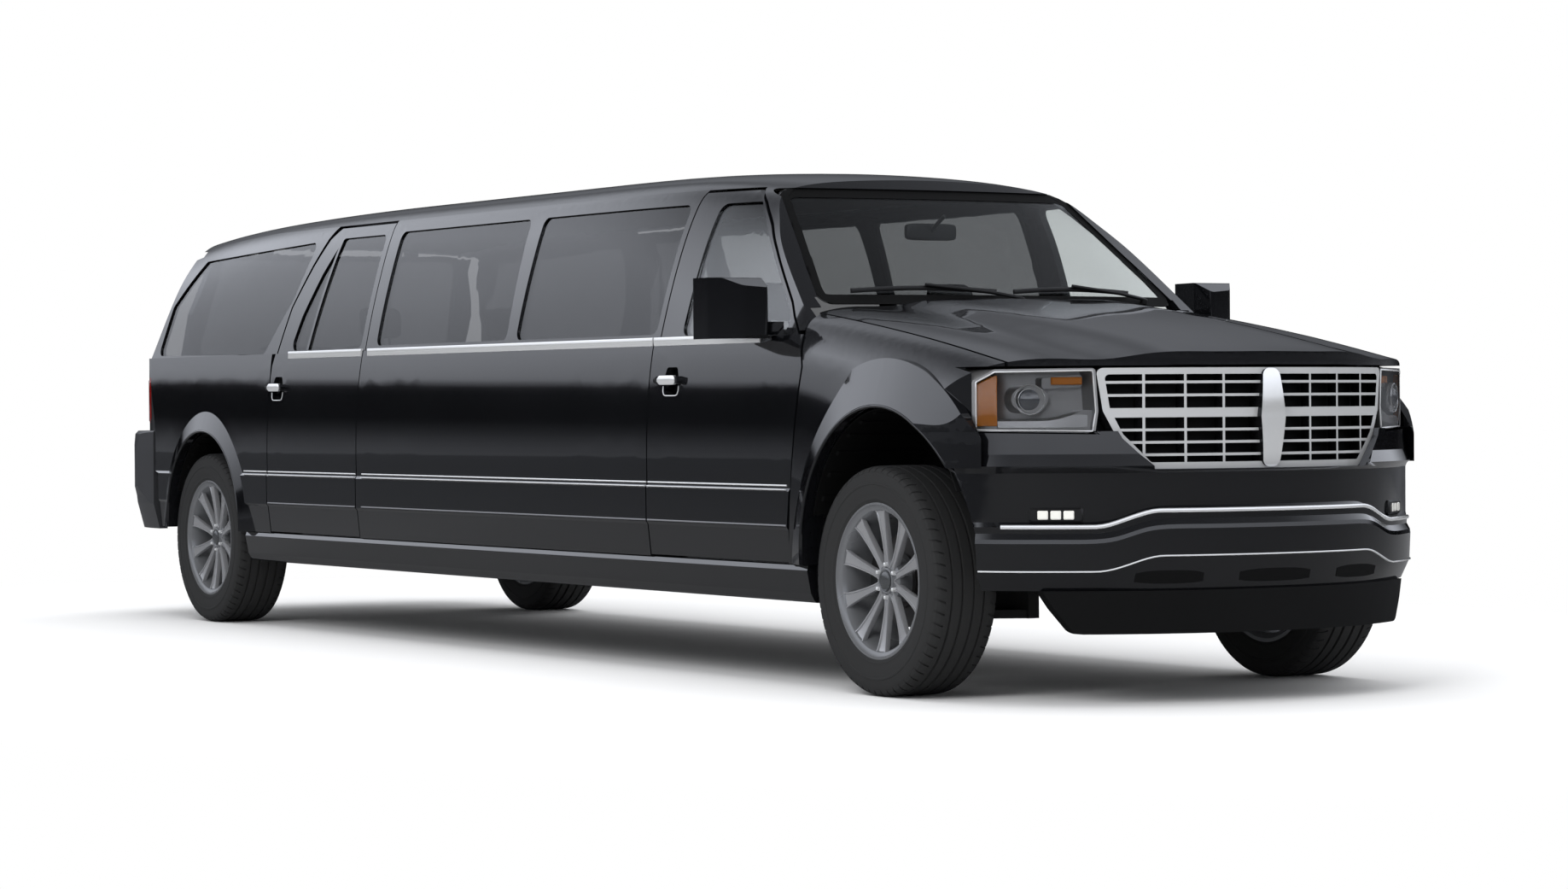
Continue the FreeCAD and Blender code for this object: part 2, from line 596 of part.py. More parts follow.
# Windscreen in its raked opening
SCREEN_OUTLINE = [(-812, 1392), (-648, 1852), (648, 1852), (812, 1392)]
SCREEN_ROUND = 45.0
opening = front_prism(SCREEN_OUTLINE, fx(-1290), fx(0), SCREEN_ROUND)
sill_gap = front_prism([(-812, 1250), (-812, 1420), (812, 1420), (812, 1250)], fx(-1290), fx(0))
foot_gap = front_prism([(-856, 1250), (-856, 1380), (856, 1380), (856, 1250)], fx(-700), fx(0))
wing_gap = side_prism([(fx(-512) - SEAT_GAP, 1270), (fx(-575) - SEAT_GAP, 1400), (fx(-575) - SEAT_GAP, 1430),
                       (fx(0), 1430), (fx(0), 1270)], -1300, 1300)
nodes["roof_panel"] = nodes["roof_panel"].cut(opening).cut(sill_gap).cut(foot_gap).cut(wing_gap)
CABIN_CORE = Part.makeLoft([Part.Wire([spline([(x, y, z) for y, z in glass_run(d, n, 0)]),
                                       Part.LineSegment(V(x, *glass_run(d, n, 0)[-1]),
                                                        V(x, *glass_run(d, n, 0)[0])).toShape()])
                            for x, d, n in ((fx(-300), 290, 114), (fx(-800), 134, 100), (fx(-1150), 70, 84),
                                            (fx(-1650), 14, 34))], True, False)
screen = CABIN_CORE.common(screen_prism(GLASS_INSET)).cut(screen_prism(GLASS_INSET + 6))
screen = screen.common(front_prism(shrink(SCREEN_OUTLINE, SEAT_GAP), fx(-1290), fx(0), SCREEN_ROUND))
nodes["windshield"] = screen

# Wings, bonnet and cowl
BONNET_HALF = 846.0
BONNET_LIP = 1150.0
BONNET_REAR = [(-575, -BONNET_HALF), (-560, -700), (-470, -400), (-420, 0)]
bonnet_rear = [(fx(x), y) for x, y in BONNET_REAR] + [(fx(x), -y) for x, y in reversed(BONNET_REAR[:-1])]


def bonnet_plan(gap):
    """The bonnet's outline in plan, from the cowl to past the nose."""
    rear = [(x - gap, y) for x, y in bonnet_rear]
    rear[0], rear[-1] = (rear[0][0], -BONNET_HALF - gap), (rear[-1][0], BONNET_HALF + gap)
    return [(fx(1200), -BONNET_HALF - gap)] + rear + [(fx(1200), BONNET_HALF + gap)]


bonnet = BONNET.common(plan_prism(bonnet_plan(0), BONNET_LIP, 1700))
nodes["hood"] = bonnet
wing_foot = [(fx(WING_CUT_LOW) + GAP, PANEL_LOW), (fx(WING_CUT_HIGH) + GAP, 1162),
             (fx(WING_REAR_TOP[0]) + GAP, BELT_Z),
             (fx(-575), 1400), (fx(1200), 1400), (fx(1200), BUMPER_HIGH + SEAT_GAP),
             (fx(300), BUMPER_HIGH + SEAT_GAP), (fx(300), PANEL_LOW)]
wings = WINGS.common(side_prism(wing_foot, -1300, 1300)).cut(plan_prism(bonnet_plan(GAP), BONNET_LIP - GAP,
                                                                        1700))
FLARE_LIMIT = end_prism(inset_end(NOSE, -20), FRONT_AXLE_X, 200, 1700, fx(-900), BUMPER_PROUD)
swell = flare(FRONT_AXLE_X, FRONT_ARCH).common(side_prism(wing_foot, -1300, 0)).common(FLARE_LIMIT)
wings = fuse([wings, swell, mirror(swell)]).cut(wheel_cut(FRONT_AXLE_X, FRONT_ARCH))
LAMP_REAR_X, LAMP_OUTER = 400.0, 926.0
wings = wings.cut(block(fx(LAMP_REAR_X) - SEAT_GAP, fx(1200), -LAMP_OUTER - SEAT_GAP, LAMP_OUTER + SEAT_GAP,
                        900, BONNET_LIP))
wings = wings.cut(block(fx(-700), fx(1200), -700, 700, 300, 1500))
for z in HINGE_Z:
    share = (z - SILL_Z) / (1162 - SILL_Z), (z + 90 - SILL_Z) / (1162 - SILL_Z)
    x0, x1 = (fx(WING_CUT_LOW + part * (WING_CUT_HIGH - WING_CUT_LOW)) for part in share)
    leaf = side_prism([(x0 + SEAT_GAP, z), (x1 + SEAT_GAP, z + 90), (x1 + 40, z + 90), (x0 + 40, z)], -975,
                      -935)
    wings = fuse([wings, leaf, mirror(leaf)])
nodes["front_fenders"] = wings
cowl_plan = [(fx(-700), -840)] + [(x - GAP, y) for x, y in bonnet_rear[1:-1]] + [(fx(-700), 840)]
cowl = front_wall(26, 60).common(plan_prism(cowl_plan, 1200, 1700))
rests = []
for y in (-640, 580):
    line = [(x - SEAT_GAP, v) for x, v in bonnet_rear[1:-1]]
    strip = plan_prism([(fx(-700), -840)] + line + [(fx(-700), 840)], 1200, 1700)
    rests.append(front_wall(28, 44).common(strip).common(block(fx(-620), fx(-300), y, y + 60, 1200, 1700)))
cowl = fuse([cowl] + rests)
nodes["cowl"] = cowl.cut(CABIN_CORE.common(screen_prism(GLASS_INSET - SEAT_GAP)))

# Liftgate and its glass
gate_low = end_wall.common(block(rx(-1200), rx(-500), -GATE_HALF, GATE_HALF, GATE_FOOT, BELT_Z))
TAIL_CORE = Part.makeLoft([Part.Wire([spline([(x, y, z) for y, z in glass_run(d, n, 0)]),
                                      Part.LineSegment(V(x, *glass_run(d, n, 0)[-1]),
                                                       V(x, *glass_run(d, n, 0)[0])).toShape()])
                           for x, d, n in ((rx(400), 16, 2), (rx(-100), 34, 10), (rx(-600), 66, 26),
                                           (rx(-1100), 116, 50))], True, False)
GATE_OUTLINE = [(-GATE_HALF, BELT_Z), (-GATE_HALF, 1500), (-700, GATE_TOP), (700, GATE_TOP),
                (GATE_HALF, 1500),
                (GATE_HALF, BELT_Z)]
GATE_PANE = [(-700, 1300), (-650, 1770), (650, 1770), (700, 1300)]
gate_band = TAIL_CORE.common(tail_prism(0)).cut(tail_prism(55))
gate_up = gate_band.common(front_prism(GATE_OUTLINE, rx(-1200), rx(-300)))
gate = fuse([gate_low, gate_up]).cut(front_prism(GATE_PANE, rx(-1200), rx(-300), PANE_ROUND))
nodes["liftgate"] = gate
gate_glass = TAIL_CORE.common(tail_prism(GLASS_INSET)).cut(tail_prism(GLASS_INSET + 6))
nodes["liftgate_glass"] = gate_glass.common(front_prism(shrink(GATE_PANE, SEAT_GAP), rx(-1200), rx(-300),
                                                        PANE_ROUND))
GATE_OPENING = [(-GATE_HALF - GAP, 1200), (-GATE_HALF - GAP, 1500), (-700 - GAP, GATE_TOP + GAP),
                (700 + GAP, GATE_TOP + GAP), (GATE_HALF + GAP, 1500), (GATE_HALF + GAP, 1200)]
nodes["roof_panel"] = nodes["roof_panel"].cut(front_prism(GATE_OPENING, rx(-1200), rx(-300)))
gate_hinges = [block(rx(-612), rx(-580), y, y + 70, GATE_TOP + SEAT_GAP, 1830) for y in (-435, 365)]
nodes["roof_panel"] = fuse([nodes["roof_panel"]] + gate_hinges)

# Front bumper, grille, lamps and what carries them
BUMPER_WALL = 60.0
BUMPER_FACE = [(-1100, BUMPER_LOW), (-1100, BUMPER_HIGH), (-614, 918), (-604, 990), (-592, 996), (-549, 904),
               (-451, 800), (451, 800), (549, 904), (592, 996), (604, 990), (614, 918), (1100, BUMPER_HIGH),
               (1100, BUMPER_LOW)]
CREASE_Z = 812.0
RECESS_DEPTH = 38.0
STRIP_PROUD = 26.0
RECESS_END = 880.0
# Heights that drop from the middle of the bumper to its sides, as (middle, side)
STRIP_Z = (661.0, 607.0)
LEDGE_Z = (614.0, 565.0)
LOW_CREASE_Z = (505.0, 453.0)
SWEEP_INNER, SWEEP_OUTER = 430.0, 640.0


def swept_height(heights, half_width):
    """A bumper line's height at a half width: level in the middle, a slope, then level again."""
    share = max(0.0, min(1.0, (half_width - SWEEP_INNER) / (SWEEP_OUTER - SWEEP_INNER)))
    ease = share * share * (3 - 2 * share)
    return heights[0] + (heights[1] - heights[0]) * ease


def wrap(half, axle, forward, skip, count, corners_of):
    """A band lofted through closed sections that stand square to a nose or tail outline, as (depth, height)."""
    sign = 1 if half[0][0] > 0 else -1
    run = [(axle + x + forward, -w, 0) for x, w in reversed(half)]
    run += [(x, -y, z) for x, y, z in reversed(run[:-1])]
    curve = spline(run).Curve
    start, end = curve.parameter(V(*run[skip])), curve.parameter(V(*run[-1 - skip]))
    sections = []
    for k in range(count):
        here = start + (end - start) * k / (count - 1)
        point, along = curve.value(here), curve.tangent(here)[0]
        normal = V(along.y, -along.x, 0) * sign
        places = [V(point.x - d * normal.x, point.y - d * normal.y, z) for d, z in corners_of(abs(point.y))]
        sections.append(Part.makePolygon(places + [places[0]]))
    return Part.makeLoft(sections, True, False)


def front_bumper_corners(half_width):
    """The front bumper's section: bluff top, crease, lamp recess, chrome ledge, low crease and lip."""
    strip, ledge, low = (swept_height(h, half_width) for h in (STRIP_Z, LEDGE_Z, LOW_CREASE_Z))
    fade = max(0.0, min(1.0, (RECESS_END + 50 - half_width) / 50))
    deep = RECESS_DEPTH * fade
    lean = 24 - 16 * max(0.0, min(1.0, (half_width - 900) / 80))
    return [(lean, BUMPER_HIGH), (lean * 2 / 3, CREASE_Z + 40), (0, CREASE_Z),
            (3 + deep * 0.8, CREASE_Z - 24),
            (3 + deep, strip + 16), (3 + deep - STRIP_PROUD * fade, strip), (6 + 10 * fade, ledge + 20),
            (2, ledge), (0, ledge - 14), (4, low + 6), (6, low), (34, BUMPER_LOW),
            (BUMPER_WALL + 34, BUMPER_LOW),
            (BUMPER_WALL + 34, BUMPER_HIGH)]


BUMPER_STATIONS = 31
BUMPER_HALF = 1012.0
bumper = wrap(NOSE, FRONT_AXLE_X, BUMPER_PROUD, 1, BUMPER_STATIONS, front_bumper_corners)
bumper = bumper.common(front_prism(BUMPER_FACE, fx(0), fx(1200)))
bumper = bumper.common(block(fx(0), fx(1200), -BUMPER_HALF, BUMPER_HALF, 300,
                             1000)).cut(wheel_cut(FRONT_AXLE_X, FRONT_ARCH))
swell = flare(FRONT_AXLE_X, FRONT_ARCH).common(FLARE_LIMIT)
swell = swell.common(block(fx(100), fx(900), -1100, 0, CREASE_Z - 6, BUMPER_HIGH)).cut(wheel_cut(FRONT_AXLE_X,
                                                                                                 FRONT_ARCH))
nodes["front_bumper"] = fuse([bumper, swell, mirror(swell)])
dam = end_prism(inset_end(NOSE, 20), FRONT_AXLE_X, 245, BUMPER_LOW - SEAT_GAP, fx(300), BUMPER_PROUD)
dam = dam.cut(end_prism(inset_end(NOSE, 50), FRONT_AXLE_X, 200, 420, fx(200), BUMPER_PROUD))
DAM_FACE = [(-790, 420), (-745, 330), (-690, 245), (690, 245), (745, 330), (790, 420)]
nodes["air_dam"] = dam.common(front_prism(DAM_FACE, fx(520), fx(1200), [0, 30, 40, 40, 30, 0]))
GRILLE_FACE = [(-612, 1142), (-591.5, 996.5), (-548.5, 904.3), (-450.8, 800.3), (450.8, 800.3),
               (548.5, 904.3),
               (591.5, 996.5), (612, 1142)]
grille_band = end_prism(NOSE, FRONT_AXLE_X, 780, 1150, fx(300)).cut(end_prism(inset_end(NOSE, 45),
                                                                              FRONT_AXLE_X, 780,
                                                                             1150, fx(200)))
GRILLE_RIM = 22.0
BAR_HALF = 4.5
MID_BAR_Z = (974.0, 1006.0)
UPPER_BARS = (1093.0, 1049.0)
LOWER_BARS = (932.0, 890.0, 848.0)
UPRIGHT_Y = (185.0, 325.0, 465.0)
CENTRE_HALF = (34.0, 52.0)
CENTRE_PROUD = 24.0
CENTRE_REACH = 900.0
rim_outer = front_prism(GRILLE_FACE, fx(500), fx(1200), 20)
rim_inner = front_prism(shrink(GRILLE_FACE, GRILLE_RIM), fx(500), fx(1200), 14)
bars = [block(fx(500), fx(1200), -620, 620, z - BAR_HALF, z + BAR_HALF) for z in UPPER_BARS + LOWER_BARS]
bars.append(block(fx(500), fx(1200), -620, 620, *MID_BAR_Z))
bars += [block(fx(500), fx(1200), y - BAR_HALF, y + BAR_HALF, 800, 1150)
         for half in UPRIGHT_Y for y in (-half, half)]
lattice = fuse([rim_outer.cut(rim_inner)] + [b.common(rim_outer) for b in bars]).common(grille_band)
narrow, wide = CENTRE_HALF
centre_face = [(-narrow, 803), (-wide, 975), (-narrow, 1140), (narrow, 1140), (wide, 975), (narrow, 803)]
centre_bar = front_prism(centre_face, fx(900), fx(1200), 30)
centre_bar = centre_bar.common(Part.makeSphere(CENTRE_REACH, V(fx(985) + CENTRE_PROUD - CENTRE_REACH, 0,
                                                               975)))
nodes["grille"] = fuse([lattice, centre_bar])
LAMP_DEPTH = 110.0
lamp_band = end_prism(NOSE, FRONT_AXLE_X, 930, 1150, fx(0)).cut(end_prism(inset_end(NOSE, LAMP_DEPTH),
                                                                          FRONT_AXLE_X,
                                                                         900, 1160, fx(-200)))
LAMP_FACE = [(-613, 1142), (-604.4, 996), (-614.4, 918.4), (-926, 925.6), (-926, 1100), (-880, 1140)]
lamp = lamp_band.common(front_prism(LAMP_FACE, fx(LAMP_REAR_X), fx(1200), 12))
LAMP_POCKET = 62.0
LAMP_RIM = 9.0
PROJECTOR = (-785.0, 1038.0)
PROJECTOR_RADIUS = 47.0
pocket = end_prism(NOSE, FRONT_AXLE_X, 900, 1170, fx(0), 20).cut(
    end_prism(inset_end(NOSE, LAMP_POCKET), FRONT_AXLE_X, 890, 1180, fx(-200)))
lamp = lamp.cut(pocket.common(front_prism(shrink(LAMP_FACE, LAMP_RIM), fx(LAMP_REAR_X), fx(1200), 12)))
barrel = tube((fx(600), *PROJECTOR), (fx(745), *PROJECTOR), PROJECTOR_RADIUS, PROJECTOR_RADIUS - 8)
lens = Part.makeSphere(PROJECTOR_RADIUS - 4, V(fx(700), *PROJECTOR))
turn_lamp = front_prism([(-742, 1072), (-742, 1110), (-632, 1120), (-632, 1078)], fx(560), fx(800), 8)
sill = front_prism([(-930, 925), (-930, 962), (-720, 962), (-640, 1000), (-600, 1000), (-600, 915)], fx(400),
                   fx(1200), 0)
inside = [barrel, lens, turn_lamp.common(end_prism(inset_end(NOSE, 34), FRONT_AXLE_X, 900, 1180, fx(-200))),
          sill.common(end_prism(inset_end(NOSE, 14), FRONT_AXLE_X, 900, 1180, fx(-200)))]
body = front_prism(shrink(LAMP_FACE, LAMP_RIM / 2), fx(LAMP_REAR_X), fx(1200), 12).common(
    end_prism(inset_end(NOSE, 12), FRONT_AXLE_X, 900, 1180, fx(-200)))
lamp_back = end_prism(inset_end(NOSE, LAMP_DEPTH), FRONT_AXLE_X, 880, 1190, fx(-200))
lamp = fuse([lamp] + [piece.common(body).cut(lamp_back) for piece in inside])
nodes["headlamps"] = both(lamp)
support = end_prism(inset_end(NOSE, LAMP_DEPTH + SEAT_GAP), FRONT_AXLE_X, 420, 1080, fx(400)).cut(
    end_prism(inset_end(NOSE, 150), FRONT_AXLE_X, 400, 1100, fx(300)))
nodes["radiator_support"] = support.common(block(fx(450), fx(1200), -860, 860, 420, 1080))

# Rear bumper and tail lamps
REAR_LOW = 435.0
REAR_ROUND = 20.0
STEP_Z = (640.0, 715.0)
CAP_Z = (BUMPER_TOP - 25, BUMPER_TOP)
REAR_BUMPER_HALF = 1003.0
TAIL_LAMP = [(-1050, 963), (-1050, 1174), (-790, 1200), (-790, 950)]
TAIL_LAMP_X = rx(-709)


def rear_bumper_corners(half_width):
    """The rear bumper's section: rounded top edge, upright face and a valance that tucks under."""
    return [(REAR_ROUND, BUMPER_TOP), (REAR_ROUND / 4, BUMPER_TOP - REAR_ROUND * 0.8), (0, BUMPER_TOP - 70),
            (0, 640),
            (10, 596), (14, 560), (46, REAR_LOW), (46 + BUMPER_WALL * 0.7, REAR_LOW), (BUMPER_WALL + 12, 560),
            (BUMPER_WALL, 640), (BUMPER_WALL, BUMPER_TOP)]


rear_band = wrap(REAR_BUMPER, REAR_AXLE_X, 0, 0, BUMPER_STATIONS, rear_bumper_corners)
rear_core = end_prism(inset_end(REAR_BUMPER, BUMPER_WALL / 2), REAR_AXLE_X, REAR_LOW, BUMPER_TOP, rx(-100))
ledges = [block(rx(-1300), rx(-600), -1100, 1100, *heights) for heights in (STEP_Z, CAP_Z)]
ledges = [rear_core.common(ledge).cut(end_prism(TAIL, REAR_AXLE_X, 600, 1000, rx(0), reach))
          for ledge, reach in zip(ledges, (-GAP, -SEAT_GAP))]
rear_bumper = fuse([rear_band] + ledges)
rear_bumper = rear_bumper.common(block(rx(-1300), rx(BUMPER_SIDE_X), -REAR_BUMPER_HALF, REAR_BUMPER_HALF, 400, 1000))
gate_bay = block(rx(-1300), rx(-600), -GATE_HALF - GAP, GATE_HALF + GAP, GATE_FOOT - 10, 1000)
nodes["rear_bumper"] = rear_bumper.cut(gate_bay)
lamp_cut = front_prism(TAIL_LAMP, rx(-1200), TAIL_LAMP_X)
tail_lamp = quarter.common(lamp_cut)
nodes["tail_lamps"] = both(tail_lamp)
nodes["quarter_panels"] = both(quarter.cut(lamp_cut))

# Running gear: ladder frame, cross-members and fuel tank
RAIL_HALF = 40.0
FRAME_LOW, FRAME_HIGH = 345.0, 495.0
FLOOR_Z = 525.0
FLOOR_WALL = 25.0
rail_side = [(fx(900), 470), (fx(-380), 470), (fx(-620), FRAME_LOW), (rx(620), FRAME_LOW), (rx(360), 545),
             (rx(-380), 545), (rx(-560), 480), (rx(-1080), 480), (rx(-1080), 600), (rx(-540), 600),
             (rx(-340), 660),
             (rx(330), 660), (rx(560), FRAME_HIGH), (fx(-600), FRAME_HIGH), (fx(-360), 600), (fx(900), 600)]
rail_plan = [(fx(900), -400), (fx(-380), -400), (fx(-620), -560), (rx(620), -560), (rx(360), -480),
             (rx(-1080), -480)]
rail_out = [(x, y - RAIL_HALF) for x, y in rail_plan]
rail_in = [(x, y + RAIL_HALF) for x, y in reversed(rail_plan)]
side_rounds = [0] + [60] * 6 + [0, 0] + [60] * 6 + [0]
plan_rounds = [0, 60, 60, 60, 60, 0, 0, 60, 60, 60, 60, 0]
rail = side_prism(rail_side, -700, -300, side_rounds).common(plan_prism(rail_out + rail_in, 300, 800,
                                                                        plan_rounds))
rail = rail.common(end_prism(inset_end(NOSE, 150 + SEAT_GAP), FRONT_AXLE_X, 200, 1000, rx(-1500)))
# Cross-members between the rails: station, half width between the rails, low and high
BODY_MOUNT_X = (fx(-900), fx(-2000), fx(-3100), fx(-4200), rx(850))
MOUNT_RADIUS = 38.0
MEMBER_LOW = 452.0
FRONT_IN, MIDDLE_IN, REAR_IN = (y - RAIL_HALF - SEAT_GAP for y in (400, 560, 480))
END_MEMBERS = [(fx(700), FRONT_IN, 485, 585), (fx(60), FRONT_IN, 475, 560), (rx(-470), REAR_IN, 560, 620),
               (rx(-1000), REAR_IN, 495, 585)]
member_sizes = END_MEMBERS + [(x, MIDDLE_IN, MEMBER_LOW, FRAME_HIGH) for x in BODY_MOUNT_X]
members = [block(x - RAIL_HALF, x + RAIL_HALF, -w, w, z0, z1) for x, w, z0, z1 in member_sizes]
mounts = [tube((x, -560, FRAME_HIGH - 20), (x, -560, FLOOR_Z - FLOOR_WALL - SEAT_GAP), MOUNT_RADIUS)
          for x in BODY_MOUNT_X]
# Each rail is made in lengths that meet at its bends
RAIL_JOINTS = (fx(-370), fx(-610), rx(590), rx(345), rx(-360), rx(-550))
splits = [block(x, x + SEAT_GAP, -700, -300, 300, 800) for x in RAIL_JOINTS]
rail = Part.makeCompound(fuse([rail] + mounts).cut(splits).Solids)
nodes["frame_rails"] = Part.makeCompound(rail.Solids + mirror(rail).Solids + members)
TANK_ROUND = 35.0
tank = block(rx(900), rx(1700), -490, -60, 330, 500 - SEAT_GAP)
nodes["fuel_tank"] = tank.makeFillet(TANK_ROUND, tank.Edges)

# Floor with firewall, raised rear floor and rear wheelhouses, and the rockers with their sills
FLOOR_HALF = 904.0
REAR_FLOOR_Z = 700.0
FIREWALL_X = (fx(-480), fx(-452))
FIREWALL_TOP = 1190.0
TOE_X, TOE_FOOT_X = fx(-660), fx(-672)
RAMP_X, RAMP_FOOT_X = rx(620), rx(608)
FLOOR_LOW = FLOOR_Z - FLOOR_WALL
toe_side = [(FIREWALL_X[1], 480), (FIREWALL_X[1], FIREWALL_TOP), (FIREWALL_X[0], FIREWALL_TOP), (FIREWALL_X[0], 760),
            (TOE_X, FLOOR_Z), (TOE_FOOT_X, FLOOR_LOW), (fx(-500), 700), (FIREWALL_X[0], 480)]
main_side = [(TOE_X - SEAT_GAP, FLOOR_Z), (RAMP_X + SEAT_GAP, FLOOR_Z), (RAMP_FOOT_X + SEAT_GAP, FLOOR_LOW),
             (TOE_FOOT_X - SEAT_GAP, FLOOR_LOW)]
rear_side = [(RAMP_X, FLOOR_Z), (rx(480), REAR_FLOOR_Z), (rx(-830), REAR_FLOOR_Z),
             (rx(-830), REAR_FLOOR_Z - FLOOR_WALL), (rx(465), REAR_FLOOR_Z - FLOOR_WALL), (RAMP_FOOT_X, FLOOR_LOW)]
firewall, main_floor, rear_floor = (side_prism(outline, -FLOOR_HALF, FLOOR_HALF)
                                    for outline in (toe_side, main_side, rear_side))
HOUSE_SIDE = [(530, 660), (530, 690), (400, 880), (220, 975), (-150, 975), (-340, 880), (-470, 690), (-470, 660)]
BAY_SIDE = [(505, 400), (505, 690), (385, 862), (212, 950), (-142, 950), (-325, 862), (-445, 690), (-445, 400)]
HOUSE_IN, HOUSE_WALL = 640.0, 25.0
house = side_prism([(rx(x), z) for x, z in HOUSE_SIDE], -FLOOR_HALF, -HOUSE_IN, [0, 0, 60, 60, 60, 60, 0, 0])
house = house.cut(side_prism([(rx(x), z) for x, z in BAY_SIDE], -FLOOR_HALF - 1, -HOUSE_IN - HOUSE_WALL,
                             [0, 0, 50, 50, 50, 50, 0, 0]))
house_place = block(rx(-470) - SEAT_GAP, rx(530) + SEAT_GAP, -FLOOR_HALF - 1, -HOUSE_IN + SEAT_GAP, 400, 1000)
rear_floor = rear_floor.cut(house_place).cut(mirror(house_place))
for y0, y1 in ((-1000, -860), (860, 1000)):
    firewall = firewall.cut(block(fx(-700), fx(-300), y0, y1, 400, 1300))
for y0, y1 in ((-620, -340), (340, 620)):
    firewall = firewall.cut(block(fx(-600), fx(-440), y0, y1, 400, 620))
floor_pan = Part.makeCompound([firewall, main_floor, rear_floor, house, mirror(house)])
nodes["floor_pan"] = floor_pan
ROCKER_LOW = 310.0
SILL_LOW = 400.0 - SEAT_GAP
SILL_WIDTH = 100.0
ROCKER_IN = 805.0
rocker = front_prism([(-ROCKER_IN, ROCKER_LOW), (-948, ROCKER_LOW), (-968, 345), (-984, ROCKER_TOP - 22),
                      (-976, ROCKER_TOP), (-FLOOR_HALF - SEAT_GAP, ROCKER_TOP),
                      (-FLOOR_HALF - SEAT_GAP, SILL_LOW),
                      (-ROCKER_IN, SILL_LOW)], rx(480), fx(-450), [14, 20, 8, 8, 8, 0, 0, 0])
sill = block(rx(608), fx(-672), -FLOOR_HALF, -FLOOR_HALF + SILL_WIDTH, SILL_LOW,
             FLOOR_Z - FLOOR_WALL - SEAT_GAP)
rocker = fuse([rocker, sill])
nodes["rocker_panels"] = both(rocker)

# Engine block, exhaust, driveshaft and rear axle
SPINDLE_REACH = 905.0
nodes["engine_block"] = block(fx(-300), fx(520), -310, 310, 560 + SEAT_GAP, 1120)
AXLE_HALF = 790.0
AXLE_TUBE = 45.0
DIFF_RADIUS = 135.0
PINION_RADIUS = 60.0
PINION_END = rx(300)
SHAFT_END = fx(-700)
axle_tube = tube((REAR_AXLE_X, -AXLE_HALF, TYRE_RADIUS), (REAR_AXLE_X, AXLE_HALF, TYRE_RADIUS), AXLE_TUBE)
diff = Part.makeSphere(DIFF_RADIUS, V(REAR_AXLE_X, 0, TYRE_RADIUS))
pinion = tube((rx(90), 0, TYRE_RADIUS), (PINION_END, 0, TYRE_RADIUS), PINION_RADIUS)
shaft = tube((PINION_END - 10, 0, TYRE_RADIUS), (SHAFT_END, 0, TYRE_RADIUS), AXLE_TUBE)
arms = [side_prism([(rx(-40), 360), (rx(40), 360), (rx(640), 395), (rx(640), 440), (rx(40), 450),
                    (rx(-40), 450)],
                   y, y + 50, 15) for y in (-650, 600)]
spindles = [tube((REAR_AXLE_X, a, TYRE_RADIUS), (REAR_AXLE_X, b, TYRE_RADIUS), SPINDLE_RADIUS)
            for a, b in ((-SPINDLE_REACH, -AXLE_HALF + 10), (AXLE_HALF - 10, SPINDLE_REACH))]
nodes["rear_axle"] = fuse([axle_tube, diff, pinion, shaft] + arms + spindles)
PIPE_RADIUS = 32.0
PIPE_Y = 250.0
PIPE_Z = 400.0
MUFFLER_RADIUS = 80.0
MUFFLER_X = (fx(-2900), fx(-2200))
HANGER_X = (fx(-900), fx(-3100))
pipe = [tube((SHAFT_END, PIPE_Y, PIPE_Z), (rx(900), PIPE_Y, PIPE_Z), PIPE_RADIUS),
        tube((rx(900), PIPE_Y, PIPE_Z), (rx(500), PIPE_Y + 80, PIPE_Z + 20), PIPE_RADIUS)]
muffler = tube((MUFFLER_X[0], PIPE_Y, PIPE_Z - 15), (MUFFLER_X[1], PIPE_Y, PIPE_Z - 15), MUFFLER_RADIUS)
hangers = [block(x - 12, x + 12, PIPE_Y - 8, PIPE_Y + 8, PIPE_Z, MEMBER_LOW - SEAT_GAP) for x in HANGER_X]
nodes["exhaust"] = fuse(pipe + [muffler] + hangers)

# Front suspension arms, knuckles and wheels
WHEEL_Y = TRACK / 2
ARM_ROOT = 445.0
LOWER_ARM_Z = (268.0, 298.0)
UPPER_ARM_Z = (555.0, 580.0)
TOWER_WALL = 45.0
KINGPIN_RADIUS = 20.0
KINGPIN_OVER = 6.0
lower_arm = plan_prism([(fx(240), -ARM_ROOT), (fx(-240), -ARM_ROOT), (fx(-35), -KINGPIN_Y),
                        (fx(35), -KINGPIN_Y)],
                       *LOWER_ARM_Z, 20)
upper_arm = plan_prism([(fx(150), -ARM_ROOT), (fx(-150), -ARM_ROOT), (fx(-30), -KINGPIN_Y),
                        (fx(30), -KINGPIN_Y)],
                       *UPPER_ARM_Z, 18)
rail_face = -400 - RAIL_HALF - SEAT_GAP
tower = block(fx(-230), fx(230), rail_face - TOWER_WALL, rail_face, LOWER_ARM_Z[0], UPPER_ARM_Z[1])
suspension = fuse([lower_arm, upper_arm, tower])
eye = tube((FRONT_AXLE_X, -KINGPIN_Y, 200), (FRONT_AXLE_X, -KINGPIN_Y, 650), KINGPIN_RADIUS + PIN_CLEARANCE)
nodes["front_suspension"] = both(suspension.cut(eye))
kingpin = tube((FRONT_AXLE_X, -KINGPIN_Y, LOWER_ARM_Z[0] - KINGPIN_OVER),
               (FRONT_AXLE_X, -KINGPIN_Y, UPPER_ARM_Z[1] + KINGPIN_OVER), KINGPIN_RADIUS)
UPRIGHT_SIDE = [(-45, 310), (45, 310), (70, 405), (40, 545), (-40, 545), (-70, 405)]
upright = fuse([kingpin,
                side_prism([(fx(x), z) for x, z in UPRIGHT_SIDE], -KINGPIN_Y - 28, -KINGPIN_Y + 32, 20),
                tube((FRONT_AXLE_X, -KINGPIN_Y, TYRE_RADIUS), (FRONT_AXLE_X, -SPINDLE_REACH, TYRE_RADIUS),
                     SPINDLE_RADIUS)])
